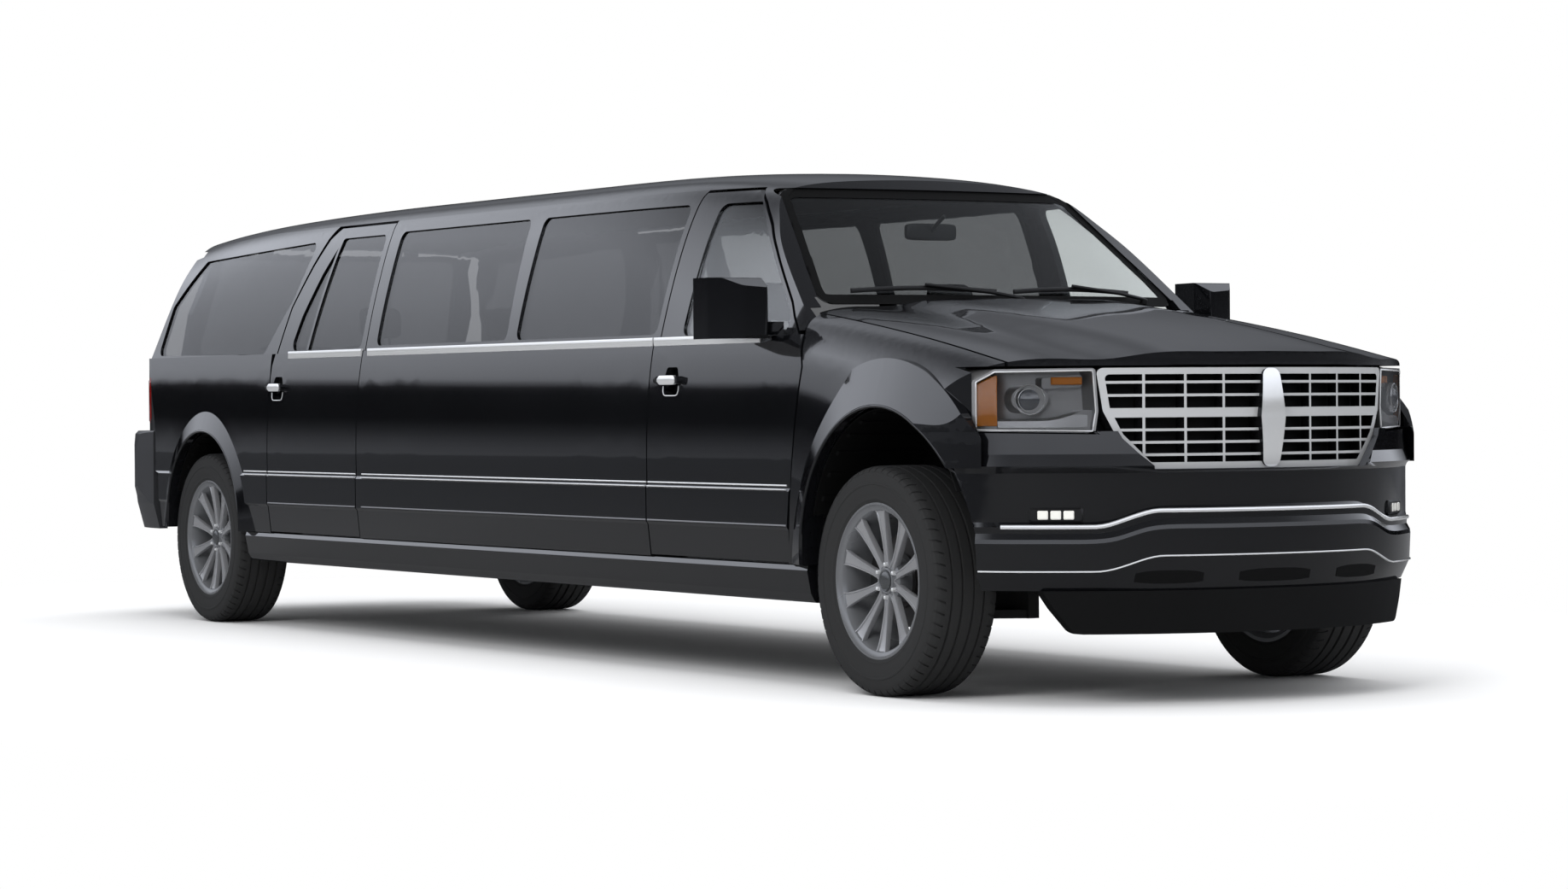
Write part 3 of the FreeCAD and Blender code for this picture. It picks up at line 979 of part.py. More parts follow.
nodes["knuckle_right"], nodes["knuckle_left"] = upright, mirror(upright)


TREAD_HALF = TYRE_WIDTH / 2
BEAD_DEPTH = 14.0
BEAD_HALF = 107.0
BULGE_RADIUS = 338.0
SHOULDER_RADIUS = 390.0
SHOULDER_HALF = 128.0
CONTACT_HALF = 104.0
TYRE_SIDES = 88


def tyre(x):
    """A right-hand tyre as a many-sided ring: slanting bead, bulged side wall, shoulder and a plain tread."""
    half = [(RIM_RADIUS - BEAD_DEPTH, BEAD_HALF), (BULGE_RADIUS, TREAD_HALF),
            (SHOULDER_RADIUS, SHOULDER_HALF),
            (TYRE_RADIUS, CONTACT_HALF)]
    ring = [(r, -WHEEL_Y - y) for r, y in half] + [(r, -WHEEL_Y + y) for r, y in reversed(half)]
    rings = []
    for k in range(TYRE_SIDES):
        turn = 2 * math.pi * k / TYRE_SIDES
        rings.append([V(x + r * math.sin(turn), y, TYRE_RADIUS - r * math.cos(turn)) for r, y in ring])
    faces = []
    for here, there in zip(rings, rings[1:] + rings[:1]):
        for k in range(len(ring)):
            corners = [here[k - 1], here[k], there[k], there[k - 1]]
            faces.append(Part.Face(Part.makePolygon(corners + corners[:1])))
    return Part.makeSolid(Part.makeShell(faces))


SPOKES = 10
SPOKE_SHAPE = [(13.0, 52.0), (15.0, 120.0), (21.0, 190.0), (30.0, 254.0)]
DISH = [(0.0, 84.0), (60.0, 80.0), (130.0, 87.0), (200.0, 98.0), (252.0, 107.0)]
SPOKE_DEPTH = 34.0
FLANGE_OUT = 18.0
BARREL_WALL = 24.0
DISC_RADIUS = 165.0
DISC_FACES = (-8.0, 14.0)


def rim(x):
    """A right-hand rim: barrel with two flanges, ten spokes that widen outwards, hub, blank cap and brake disc."""
    c, z = -WHEEL_Y, TYRE_RADIUS
    out, inn = c - TREAD_HALF + FLANGE_OUT, c + TREAD_HALF - FLANGE_OUT
    seat_radius = RIM_RADIUS - BEAD_DEPTH - SEAT_GAP
    slope = (TREAD_HALF - BEAD_HALF) / (BULGE_RADIUS - RIM_RADIUS + BEAD_DEPTH)
    lip = BEAD_HALF + slope * BEAD_DEPTH + SEAT_GAP * 2
    barrel = revolve([(RIM_RADIUS, out), (RIM_RADIUS, c - lip), (seat_radius, c - BEAD_HALF),
                      (seat_radius, c + BEAD_HALF),
                      (RIM_RADIUS, c + lip), (RIM_RADIUS, inn), (RIM_RADIUS - BARREL_WALL, inn),
                      (RIM_RADIUS - BARREL_WALL - 4, out + 26), (RIM_RADIUS - BARREL_WALL + 6, out)], x, z)
    dish = revolve([(r, c - d) for r, d in DISH] + [(r, c - d + SPOKE_DEPTH) for r, d in reversed(DISH)], x,
                   z)
    outline = [(-h, r) for h, r in SPOKE_SHAPE] + [(h, r) for h, r in reversed(SPOKE_SHAPE)]
    star = []
    for k in range(SPOKES):
        arm = side_prism([(x + u, z + v) for u, v in outline], c - TREAD_HALF, c)
        arm.rotate(V(x, 0, z), V(0, 1, 0), 360.0 / SPOKES * k)
        star.append(arm.common(dish))
    hub = revolve([(0, c - 92), (38, c - 89), (44, c - 82), (66, c - 78), (70, c + DISC_FACES[1]),
                   (0, c + DISC_FACES[1])],
                  x, z)
    disc = revolve([(0, c + DISC_FACES[0]), (DISC_RADIUS, c + DISC_FACES[0]),
                    (DISC_RADIUS, c + DISC_FACES[1]),
                    (0, c + DISC_FACES[1])], x, z)
    bore = tube((x, c - 60, z), (x, c + TREAD_HALF, z), SPINDLE_RADIUS + PIN_CLEARANCE)
    return fuse([barrel, hub, disc] + star).cut(bore)


for end, x in (("front", FRONT_AXLE_X), ("rear", REAR_AXLE_X)):
    nodes["tyre_" + end + "_right"], nodes["rim_" + end + "_right"] = tyre(x), rim(x)
    nodes["tyre_" + end + "_left"] = mirror(nodes["tyre_" + end + "_right"])
    nodes["rim_" + end + "_left"] = mirror(nodes["rim_" + end + "_right"])

# Cabin: dashboard, steering wheel, front seats, partition and lounge seats
DRIVER_Y = 400.0
DASH_HALF = 840.0
COLUMN_LEAN = math.radians(28)
COLUMN_RADIUS = 22.0
WHEEL_RADIUS = 185.0
GRIP_RADIUS = 15.0
dash_front = FIREWALL_X[0] - SEAT_GAP
dash = side_prism([(dash_front, 800), (fx(-640), 800), (fx(-800), 900), (fx(-860), 1060), (fx(-830), 1200),
                   (fx(-640), 1280), (dash_front, 1280)], -DASH_HALF, DASH_HALF, [0, 20, 60, 60, 60, 60, 0])
column = V(-math.cos(COLUMN_LEAN), 0, math.sin(COLUMN_LEAN))
centre = V(fx(-940), DRIVER_Y, 1130)
ring = Part.makeTorus(WHEEL_RADIUS, GRIP_RADIUS, centre, column)
hub = Part.makeCylinder(55, 45, centre - column * 40, column)
post = Part.makeCylinder(COLUMN_RADIUS, 150, centre - column * 170, column)
spoke = Part.makeBox(24, 2 * WHEEL_RADIUS - 10, 14, V(-12, 5 - WHEEL_RADIUS, -20))
spoke.Placement = FreeCAD.Placement(centre, FreeCAD.Rotation(V(0, 0, 1), column))
nodes["steering_wheel"] = fuse([ring, hub, post, spoke])
nodes["dashboard"] = dash.cut(Part.makeCylinder(COLUMN_RADIUS + SEAT_GAP, 400, centre - column * 60, -column))


# Seat outlines in side view, from the seat's station and the floor
SEAT_BASE = (-200.0, 180.0)
BASE_HIGH = 190.0
CUSHION = [(-260, 180), (260, 180), (280, 290), (-200, 300)]
SEAT_BACK = [(-230, 230), (-120, 230), (-260, 830), (-350, 830)]
HEADREST = [(-290, 820), (-340, 820), (-375, 1000), (-300, 1000)]
HEADREST_HALF = 120.0
PAD_ROUND = 35.0
FRONT_SEAT_X = fx(-1290)
FRONT_SEAT_WIDTH = 520.0
BENCH_X = rx(930)
BENCH_PLACE = 640.0
BENCH_Y = 330.0
PARTITION_X = (fx(-1760), fx(-1720))
PARTITION_TOP = 1180.0
LOUNGE_X = (rx(1830), fx(-2300))
LOUNGE = [(-885, 0), (-400, 0), (-400, 435), (-690, 435), (-790, 805), (-850, 805)]
CABIN_FLOOR = FLOOR_Z + SEAT_GAP


def seat(x, y, wide):
    """A seat facing forward at a station: base, cushion, raked back and headrest as one padded form."""
    h = wide / 2
    base = block(x + SEAT_BASE[0], x + SEAT_BASE[1], y - h + 70, y + h - 70, CABIN_FLOOR,
                 CABIN_FLOOR + BASE_HIGH)
    pads = [side_prism([(x + u, CABIN_FLOOR + v) for u, v in outline], y - half, y + half, round_off)
            for outline, half, round_off in ((CUSHION, h, PAD_ROUND), (SEAT_BACK, h - 10, PAD_ROUND),
                                             (HEADREST, HEADREST_HALF, PAD_ROUND - 10))]
    return fuse([base] + pads)


nodes["front_seats"] = Part.makeCompound([seat(FRONT_SEAT_X, y, FRONT_SEAT_WIDTH) for y in (-DRIVER_Y,
                                                                                            DRIVER_Y)])
nodes["partition"] = block(*PARTITION_X, -830, 830, CABIN_FLOOR, PARTITION_TOP)
nodes["lounge_seats"] = front_prism([(y, CABIN_FLOOR + z) for y, z in LOUNGE], *LOUNGE_X)
nodes["rear_bench"] = fuse([seat(BENCH_X, y, BENCH_PLACE) for y in (-BENCH_Y, BENCH_Y)])

# Door mirrors on the front doors
MIRROR_Z = (1268.0, 1492.0)
MIRROR_GLASS_Z = (1292.0, 1470.0)
MIRROR_ARM = [(fx(-700), BELT_Z + SEAT_GAP), (fx(-790), BELT_Z + SEAT_GAP), (fx(-840), 1330),
              (fx(-700), 1330)]
arm = side_prism(MIRROR_ARM, -1010, -925)
MIRROR_PLAN = [(-672, -1005), (-760, -985), (-930, -1010), (-952, -1150), (-905, -1192), (-800, -1185),
               (-690, -1105)]
MIRROR_SIDE = [(-1000, 1268), (-1000, 1470), (-960, 1492), (-760, 1492), (-640, 1440), (-640, 1300),
               (-700, 1268)]
shell = plan_prism([(fx(x), y) for x, y in MIRROR_PLAN], *MIRROR_Z, [14, 20, 20, 26, 26, 40, 40])
shell = shell.common(side_prism([(fx(x), z) for x, z in MIRROR_SIDE], -1300, -900,
                                [0, 20, 20, 60, 40, 20, 0]))
pocket = plan_prism([(fx(-960), -1180), (fx(-890), -1172), (fx(-890), -1025), (fx(-960), -1022)],
                    *MIRROR_GLASS_Z, 10)
shell = shell.cut(pocket)
mirror_right = fuse([arm, shell])
nodes["mirror_right"], nodes["mirror_left"] = mirror_right, mirror(mirror_right)

os.makedirs("parts", exist_ok=True)
for name, shape in nodes.items():
    shape.exportStep("parts/" + name + ".step")
    print(name, shape.isValid(), len(shape.Solids), round(shape.Volume / 1e6, 2))
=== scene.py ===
"""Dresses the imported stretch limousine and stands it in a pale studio."""
import logging
import math
from dataclasses import dataclass, field
from enum import Enum

import bmesh
import bpy
from mathutils import Matrix, Vector
from mathutils.bvhtree import BVHTree


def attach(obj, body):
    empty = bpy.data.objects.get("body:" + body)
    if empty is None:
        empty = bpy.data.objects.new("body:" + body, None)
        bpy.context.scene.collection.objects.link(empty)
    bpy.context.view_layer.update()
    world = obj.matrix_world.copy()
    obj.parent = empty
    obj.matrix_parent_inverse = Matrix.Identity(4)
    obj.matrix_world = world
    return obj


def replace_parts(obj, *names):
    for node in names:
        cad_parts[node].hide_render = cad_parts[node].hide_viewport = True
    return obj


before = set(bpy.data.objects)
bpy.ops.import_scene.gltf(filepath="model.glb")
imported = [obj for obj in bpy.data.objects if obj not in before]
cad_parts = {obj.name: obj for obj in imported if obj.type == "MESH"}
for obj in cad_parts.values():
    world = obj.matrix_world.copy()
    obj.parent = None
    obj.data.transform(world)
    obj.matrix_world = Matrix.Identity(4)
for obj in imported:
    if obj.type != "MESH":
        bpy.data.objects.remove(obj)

LOG = logging.getLogger("limousine")
FRONT_X, REAR_X = 3.118, -2.953

Point = tuple[float, float, float]
Link = tuple[bpy.types.Node, str | int, bpy.types.Node, str | int]


class Side(Enum):
    """The two sides of the vehicle, as the sign of their Y."""

    RIGHT = -1
    LEFT = 1

    @property
    def word(self) -> str:
        """The side's name in body and node names."""
        return self.name.lower()


class Surface(Enum):
    """Kinds of fine surface relief, as (noise scale per metre, bump distance in metres)."""

    SMOOTH = (9.0, 0.0)
    PEEL = (60.0, 0.00002)
    MOULDED = (900.0, 0.00012)
    CAST = (420.0, 0.00015)
    LEATHER = (260.0, 0.0006)
    CARPET = (1400.0, 0.0012)


# Shader node groups

def add_node(tree: bpy.types.NodeTree, kind: str, **modes: str) -> bpy.types.Node:
    """Adds a node with its modes, such as its operation, and returns it."""
    made = tree.nodes.new(kind)
    for key, value in modes.items():
        setattr(made, key, value)
    return made


def wire(tree: bpy.types.NodeTree, *links: Link) -> None:
    """Makes links, each given as (node, its output, the next node, its input)."""
    for source, output, sink, into in links:
        tree.links.new(source.outputs[output], sink.inputs[into])


def preset(made: bpy.types.Node, values: dict[str, float | tuple]) -> None:
    """Sets a node's inputs by name."""
    for key, value in values.items():
        made.inputs[key].default_value = value


def group_tree(name: str, inputs: dict[str, float], outputs: dict[str, str]) -> bpy.types.NodeTree:
    """Starts a shader node group.

    Args:
        name: the group's name.
        inputs: each float input and its default.
        outputs: each output and its socket type.

    Returns:
        The tree, with an input and an output node in it.
    """
    tree = bpy.data.node_groups.new(name, "ShaderNodeTree")
    tree.interface.new_socket("Vector", in_out="INPUT", socket_type="NodeSocketVector")
    for key, value in inputs.items():
        socket = tree.interface.new_socket(key, in_out="INPUT", socket_type="NodeSocketFloat")
        socket.default_value = value
    for key, kind in outputs.items():
        tree.interface.new_socket(key, in_out="OUTPUT", socket_type=kind)
    tree.nodes.new("NodeGroupInput").name = "in"
    tree.nodes.new("NodeGroupOutput").name = "out"
    return tree


class SharedEffects:
    """Node groups that more than one finish uses, built once."""

    def __init__(self) -> None:
        """Builds the groups."""
        self.relief = self._relief()
        self.dust = self._dust()

    def _relief(self) -> bpy.types.NodeTree:
        """A two-octave relief with a slow drift of tone.

        Returns:
            A group with outputs Height and Tone.
        """
        tree = group_tree("fine_relief", {"Scale": 300.0},
                          {"Height": "NodeSocketFloat", "Tone": "NodeSocketFloat"})
        source, sink = tree.nodes["in"], tree.nodes["out"]
        fine = tree.nodes.new("ShaderNodeTexNoise")
        fine.inputs["Detail"].default_value = 2.0
        slow = tree.nodes.new("ShaderNodeTexNoise")
        preset(slow, {"Scale": 2.3, "Detail": 3.0})
        wire(tree, (source, "Vector", fine, "Vector"), (source, "Vector", slow, "Vector"),
                   (source, "Scale", fine, "Scale"), (fine, "Fac", sink, "Height"),
                   (slow, "Fac", sink, "Tone"))
        return tree

    def _dust(self) -> bpy.types.NodeTree:
        """A film of road dust that thins out with height above the ground.

        Returns:
            A group with the output Mask.
        """
        tree = group_tree("road_dust", {"Top": 0.7, "Amount": 0.1}, {"Mask": "NodeSocketFloat"})
        source, sink = tree.nodes["in"], tree.nodes["out"]
        split = tree.nodes.new("ShaderNodeSeparateXYZ")
        fall = tree.nodes.new("ShaderNodeMapRange")
        fall.inputs["From Min"].default_value = 0.0
        fall.inputs["To Min"].default_value, fall.inputs["To Max"].default_value = 1.0, 0.0
        cloud = tree.nodes.new("ShaderNodeTexNoise")
        preset(cloud, {"Scale": 14.0, "Detail": 6.0})
        patch = add_node(tree, "ShaderNodeMath", operation="MULTIPLY")
        scaled = add_node(tree, "ShaderNodeMath", operation="MULTIPLY")
        wire(tree, (source, "Vector", split, 0), (source, "Vector", cloud, "Vector"),
                   (split, "Z", fall, "Value"), (source, "Top", fall, "From Max"),
                   (fall, "Result", patch, 0), (cloud, "Fac", patch, 1), (patch, 0, scaled, 0),
                   (source, "Amount", scaled, 1), (scaled, 0, sink, "Mask"))
        return tree


EFFECTS = SharedEffects()


def on_object(tree: bpy.types.NodeTree, group: bpy.types.NodeTree, coords: bpy.types.Node) -> bpy.types.Node:
    """Places a shared group on Object coordinates and returns its node."""
    made = tree.nodes.new("ShaderNodeGroup")
    made.node_tree = group
    tree.links.new(coords.outputs["Object"], made.inputs["Vector"])
    return made


@dataclass(frozen=True)
class Look:
    """A named material, built once.

    Attributes:
        name: the material's name.
    """

    name: str

    def material(self) -> bpy.types.Material:
        """Returns the material, building it the first time."""
        known = bpy.data.materials.get(self.name)
        if known:
            return known
        made = bpy.data.materials.new(self.name)
        made.use_nodes = True
        self._build(made.node_tree, made.node_tree.nodes["Principled BSDF"])
        return made

    def _build(self, tree: bpy.types.NodeTree, shader: bpy.types.Node) -> None:
        """Sets up the tree round its Principled shader."""
        raise NotImplementedError

    def _drift(self, tree: bpy.types.NodeTree, relief: bpy.types.Node, colour: Point,
               share: float) -> bpy.types.Node:
        """Adds a colour that drifts about its mean by a share, and returns its node."""
        tone = add_node(tree, "ShaderNodeMix", data_type="RGBA")
        preset(tone, {"A": (*[c * (1 - share) for c in colour], 1),
                      "B": (*[min(1.0, c * (1 + share)) for c in colour], 1)})
        tree.links.new(relief.outputs["Tone"], tone.inputs["Factor"])
        return tone

    def _roughen(self, tree: bpy.types.NodeTree, shader: bpy.types.Node, relief: bpy.types.Node, low: float,
                 high: float) -> None:
        """Lets the roughness drift between two values."""
        rough = tree.nodes.new("ShaderNodeMapRange")
        preset(rough, {"To Min": low, "To Max": high})
        wire(tree, (relief, "Tone", rough, "Value"), (rough, "Result", shader, "Roughness"))


@dataclass(frozen=True)
class Finish(Look):
    """An opaque finish: colour, gloss, fine relief and a film of dust.

    Attributes:
        colour: the base colour, linear.
        roughness: the mean roughness.
        metallic: 1 for bare or plated metal.
        coat: the weight of a clear coat.
        surface: the kind of fine relief.
        drift: how far the tone drifts over the piece, as a share.
        dust: how much road dust lies low down.
        specular: the strength of its reflections.
        sheen: the weight of a cloth's sheen.
    """

    colour: Point
    roughness: float = 0.4
    metallic: float = 0.0
    coat: float = 0.0
    surface: Surface = Surface.SMOOTH
    drift: float = 0.12
    dust: float = 0.0
    specular: float = 0.5
    sheen: float = 0.0

    def _build(self, tree: bpy.types.NodeTree, shader: bpy.types.Node) -> None:
        """Sets gloss, colour, roughness and relief."""
        preset(shader, {"Metallic": self.metallic, "Coat Weight": self.coat, "Coat Roughness": 0.02,
                        "Specular IOR Level": self.specular, "Sheen Weight": self.sheen})
        coords = tree.nodes.new("ShaderNodeTexCoord")
        relief = on_object(tree, EFFECTS.relief, coords)
        relief.inputs["Scale"].default_value = self.surface.value[0]
        self._dress_colour(tree, shader, relief, coords)
        self._roughen(tree, shader, relief, max(0.02, self.roughness * (1 - 2 * self.drift)),
                      min(1.0, self.roughness * (1 + 2 * self.drift)))
        if self.surface.value[1] > 0:
            bump = tree.nodes.new("ShaderNodeBump")
            preset(bump, {"Distance": self.surface.value[1], "Strength": 0.8})
            wire(tree, (relief, "Height", bump, "Height"), (bump, "Normal", shader, "Normal"))

    def _dress_colour(self, tree: bpy.types.NodeTree, shader: bpy.types.Node, relief: bpy.types.Node,
                      coords: bpy.types.Node) -> None:
        """Feeds the base colour with a slow drift of tone and the dust.

        Args:
            tree: the material's node tree.
            shader: its Principled shader.
            relief: the relief group's node.
            coords: the coordinates' node.
        """
        tone = self._drift(tree, relief, self.colour, self.drift)
        if self.dust <= 0:
            tree.links.new(tone.outputs["Result"], shader.inputs["Base Color"])
            return
        film = on_object(tree, EFFECTS.dust, coords)
        film.inputs["Amount"].default_value = self.dust
        dusty = add_node(tree, "ShaderNodeMix", data_type="RGBA")
        dusty.inputs["B"].default_value = (0.21, 0.19, 0.17, 1)
        wire(tree, (film, "Mask", dusty, "Factor"), (tone, "Result", dusty, "A"),
                   (dusty, "Result", shader, "Base Color"))


@dataclass(frozen=True)
class Glazing(Look):
    """Clear or tinted glass and lens plastic.

    Attributes:
        tint: the colour that light keeps at each surface.
        roughness: how much the surface blurs.
    """

    tint: Point
    roughness: float = 0.0

    def _build(self, tree: bpy.types.NodeTree, shader: bpy.types.Node) -> None:
        """Sets the glass with a faint drift of tint and of haze."""
        preset(shader, {"Transmission Weight": 1.0, "IOR": 1.45})
        relief = on_object(tree, EFFECTS.relief, tree.nodes.new("ShaderNodeTexCoord"))
        tone = self._drift(tree, relief, self.tint, 0.06)
        tree.links.new(tone.outputs["Result"], shader.inputs["Base Color"])
        self._roughen(tree, shader, relief, self.roughness, self.roughness + 0.012)


PAINT = Finish("gloss_black_paint", (0.0035, 0.0037, 0.0045), 0.10, 0.0, 1.0, Surface.PEEL, 0.1, 0.006, 0.35)
BLACK_TRIM = Finish("satin_black_trim", (0.008, 0.008, 0.0085), 0.38, 0.0, 0.0, Surface.MOULDED, 0.15, 0.01,
                    0.4)
CHROME = Finish("bright_chrome", (0.86, 0.87, 0.88), 0.10, 0.55, 0.0, Surface.SMOOTH, 0.03)
RUBBER = Finish("tyre_rubber", (0.0075, 0.0075, 0.008), 0.60, 0.0, 0.0, Surface.MOULDED, 0.2, 0.05, 0.35)
ALLOY = Finish("satin_alloy", (0.17, 0.175, 0.185), 0.27, 0.35, 0.0, Surface.SMOOTH, 0.06, 0.05)
IRON = Finish("chassis_black", (0.008, 0.008, 0.0085), 0.55, 0.0, 0.0, Surface.CAST, 0.3, 0.08, 0.3)
STEEL = Finish("dull_steel", (0.25, 0.24, 0.23), 0.45, 1.0, 0.0, Surface.CAST, 0.25, 0.3)
LEATHER = Finish("black_leather", (0.018, 0.017, 0.017), 0.45, 0.0, 0.0, Surface.LEATHER, 0.2)
CARPET = Finish("dark_carpet", (0.02, 0.02, 0.021), 0.95, 0.0, 0.0, Surface.CARPET, 0.3, 0.0, 0.2, 0.3)
HEADLINER = Finish("headliner_cloth", (0.022, 0.019, 0.017), 0.95, 0.0, 0.0, Surface.CARPET, 0.25, 0.0, 0.1,
                   0.2)
DASH = Finish("dash_plastic", (0.02, 0.02, 0.02), 0.6, 0.0, 0.0, Surface.LEATHER, 0.15)
ENGINE = Finish("engine_casting", (0.16, 0.16, 0.16), 0.5, 0.8, 0.0, Surface.CAST, 0.3)
SCREEN_GLASS = Glazing("screen_glass", (0.80, 0.83, 0.825))
PRIVACY_GLASS = Glazing("privacy_glass", (0.15, 0.153, 0.158))
FRONT_GLASS = Glazing("front_door_glass", (0.80, 0.83, 0.83))
LAMP_LENS = Glazing("lamp_lens", (0.97, 0.97, 0.97))
SPOKE_ALLOY = Finish("machined_alloy", (0.37, 0.375, 0.39), 0.22, 0.50, 0.0, Surface.SMOOTH, 0.06, 0.05)
CAP_BLACK = Finish("cap_grey", (0.10, 0.105, 0.11), 0.25, 0.6, 0.5, Surface.SMOOTH, 0.05)
DISC_STEEL = Finish("disc_steel", (0.16, 0.155, 0.15), 0.42, 1.0, 0.0, Surface.CAST, 0.2, 0.1)
LAMP_CELL = Finish("lamp_cell", (0.86, 0.85, 0.80), 0.16, 0.0, 0.6, Surface.SMOOTH, 0.04)
LAMP_SILVER = Finish("lamp_silver", (0.46, 0.46, 0.46), 0.30, 0.8, 0.0, Surface.SMOOTH, 0.05)
LAMP_GLOBE = Finish("lamp_globe", (0.10, 0.11, 0.13), 0.06, 0.0, 1.0, Surface.SMOOTH, 0.05, 0.0, 1.0)
DEEP_BLACK = Finish("deep_black", (0.003, 0.003, 0.003), 0.7, 0.0, 0.0, Surface.MOULDED, 0.1, 0.0, 0.2)
AMBER = Finish("amber_lens", (0.62, 0.20, 0.012), 0.16, 0.0, 0.8, Surface.SMOOTH, 0.1)
RED_LENS = Finish("red_lens", (0.26, 0.008, 0.006), 0.14, 0.0, 0.9, Surface.SMOOTH, 0.15)
# A bright grey for the strip that paints the highlight along the lower door crease.
SILL_HIGHLIGHT = Finish("sill_bright", (0.22, 0.225, 0.24), 0.30, 0.4, 0.0, Surface.SMOOTH, 0.05)
BUMPER_SATIN = Finish("bumper_satin", (0.030, 0.031, 0.034), 0.34, 0.0, 0.2, Surface.MOULDED, 0.1, 0.01, 0.5)
RED_DEEP = Finish("red_deep", (0.12, 0.004, 0.004), 0.2, 0.0, 0.9, Surface.SMOOTH, 0.1)
MIRROR = Finish("mirror_glass", (0.72, 0.75, 0.77), 0.03, 1.0, 0.0, Surface.SMOOTH, 0.01)


@dataclass(frozen=True)
class FacedFinish(Finish):
    """A finish that keeps its colour where a surface faces ahead and has painted shade down its sides."""

    def _build(self, tree: bpy.types.NodeTree, shader: bpy.types.Node) -> None:
        """Builds the finish and then paints shade on what doesn't face ahead."""
        super()._build(tree, shader)
        # Painted shade: the base colour darkens where the normal turns away from ahead.
        facing = tree.nodes.new("ShaderNodeNewGeometry")
        split = tree.nodes.new("ShaderNodeSeparateXYZ")
        mask = tree.nodes.new("ShaderNodeMapRange")
        preset(mask, {"From Min": 0.25, "From Max": 0.60})
        wire(tree, (facing, "Normal", split, 0), (split, "X", mask, "Value"))
        dim = add_node(tree, "ShaderNodeMix", data_type="RGBA")
        dim.inputs["A"].default_value = (0.012, 0.012, 0.013, 1)
        source = shader.inputs["Base Color"].links[0].from_socket
        tree.links.new(mask.outputs["Result"], dim.inputs["Factor"])
        tree.links.new(source, dim.inputs["B"])
        tree.links.new(dim.outputs["Result"], shader.inputs["Base Color"])


# Grille chrome with painted shade down the bars' sides.
SIDE_SHADED_GRILLE_CHROME = FacedFinish("grille_chrome", (0.86, 0.87, 0.88), 0.12, 0.55, 0.0, Surface.SMOOTH, 0.03)

DRESS: dict[str, Look] = {
    **{f"door_{e}_{s}": PAINT for e in ("front", "rear") for s in ("right", "left")},
    **{n: PAINT for n in ("stretch_panels", "quarter_panels", "roof_panel", "hood", "front_fenders",
                          "liftgate", "front_bumper", "rocker_panels", "mirror_right", "mirror_left")},
    **{n: BLACK_TRIM for n in ("cowl", "radiator_support")},
    **{n: IRON for n in ("frame_rails", "fuel_tank", "rear_axle", "front_suspension", "knuckle_right",
                         "knuckle_left")},
    **{f"tyre_{e}_{s}": RUBBER for e in ("front", "rear") for s in ("right", "left")},
    **{f"rim_{e}_{s}": ALLOY for e in ("front", "rear") for s in ("right", "left")},
    **{n: LEATHER for n in ("front_seats", "lounge_seats", "rear_bench", "steering_wheel")},
    **{f"window_front_{s}": FRONT_GLASS for s in ("right", "left")},
    **{f"window_rear_{s}": PRIVACY_GLASS for s in ("right", "left")},
    "cabin_glass": PRIVACY_GLASS, "liftgate_glass": PRIVACY_GLASS, "windshield": SCREEN_GLASS,
    "tail_lamps": RED_LENS, "headlamps": LAMP_SILVER, "grille": SIDE_SHADED_GRILLE_CHROME, "exhaust": STEEL,
    "engine_block": ENGINE, "air_dam": DEEP_BLACK, "rear_bumper": BUMPER_SATIN, "floor_pan": CARPET,
    "dashboard": DASH, "partition": CARPET,
}


def dress_frame() -> None:
    """Gives every CAD node its finish."""
    for name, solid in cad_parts.items():
        solid.data.materials.clear()
        solid.data.materials.append(DRESS[name].material())
    LOG.info("dressed %d solids", len(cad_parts))


# Shapes and repeats

def fx(x: float) -> float:
    """A station in metres ahead of the front axle."""
    return FRONT_X + x


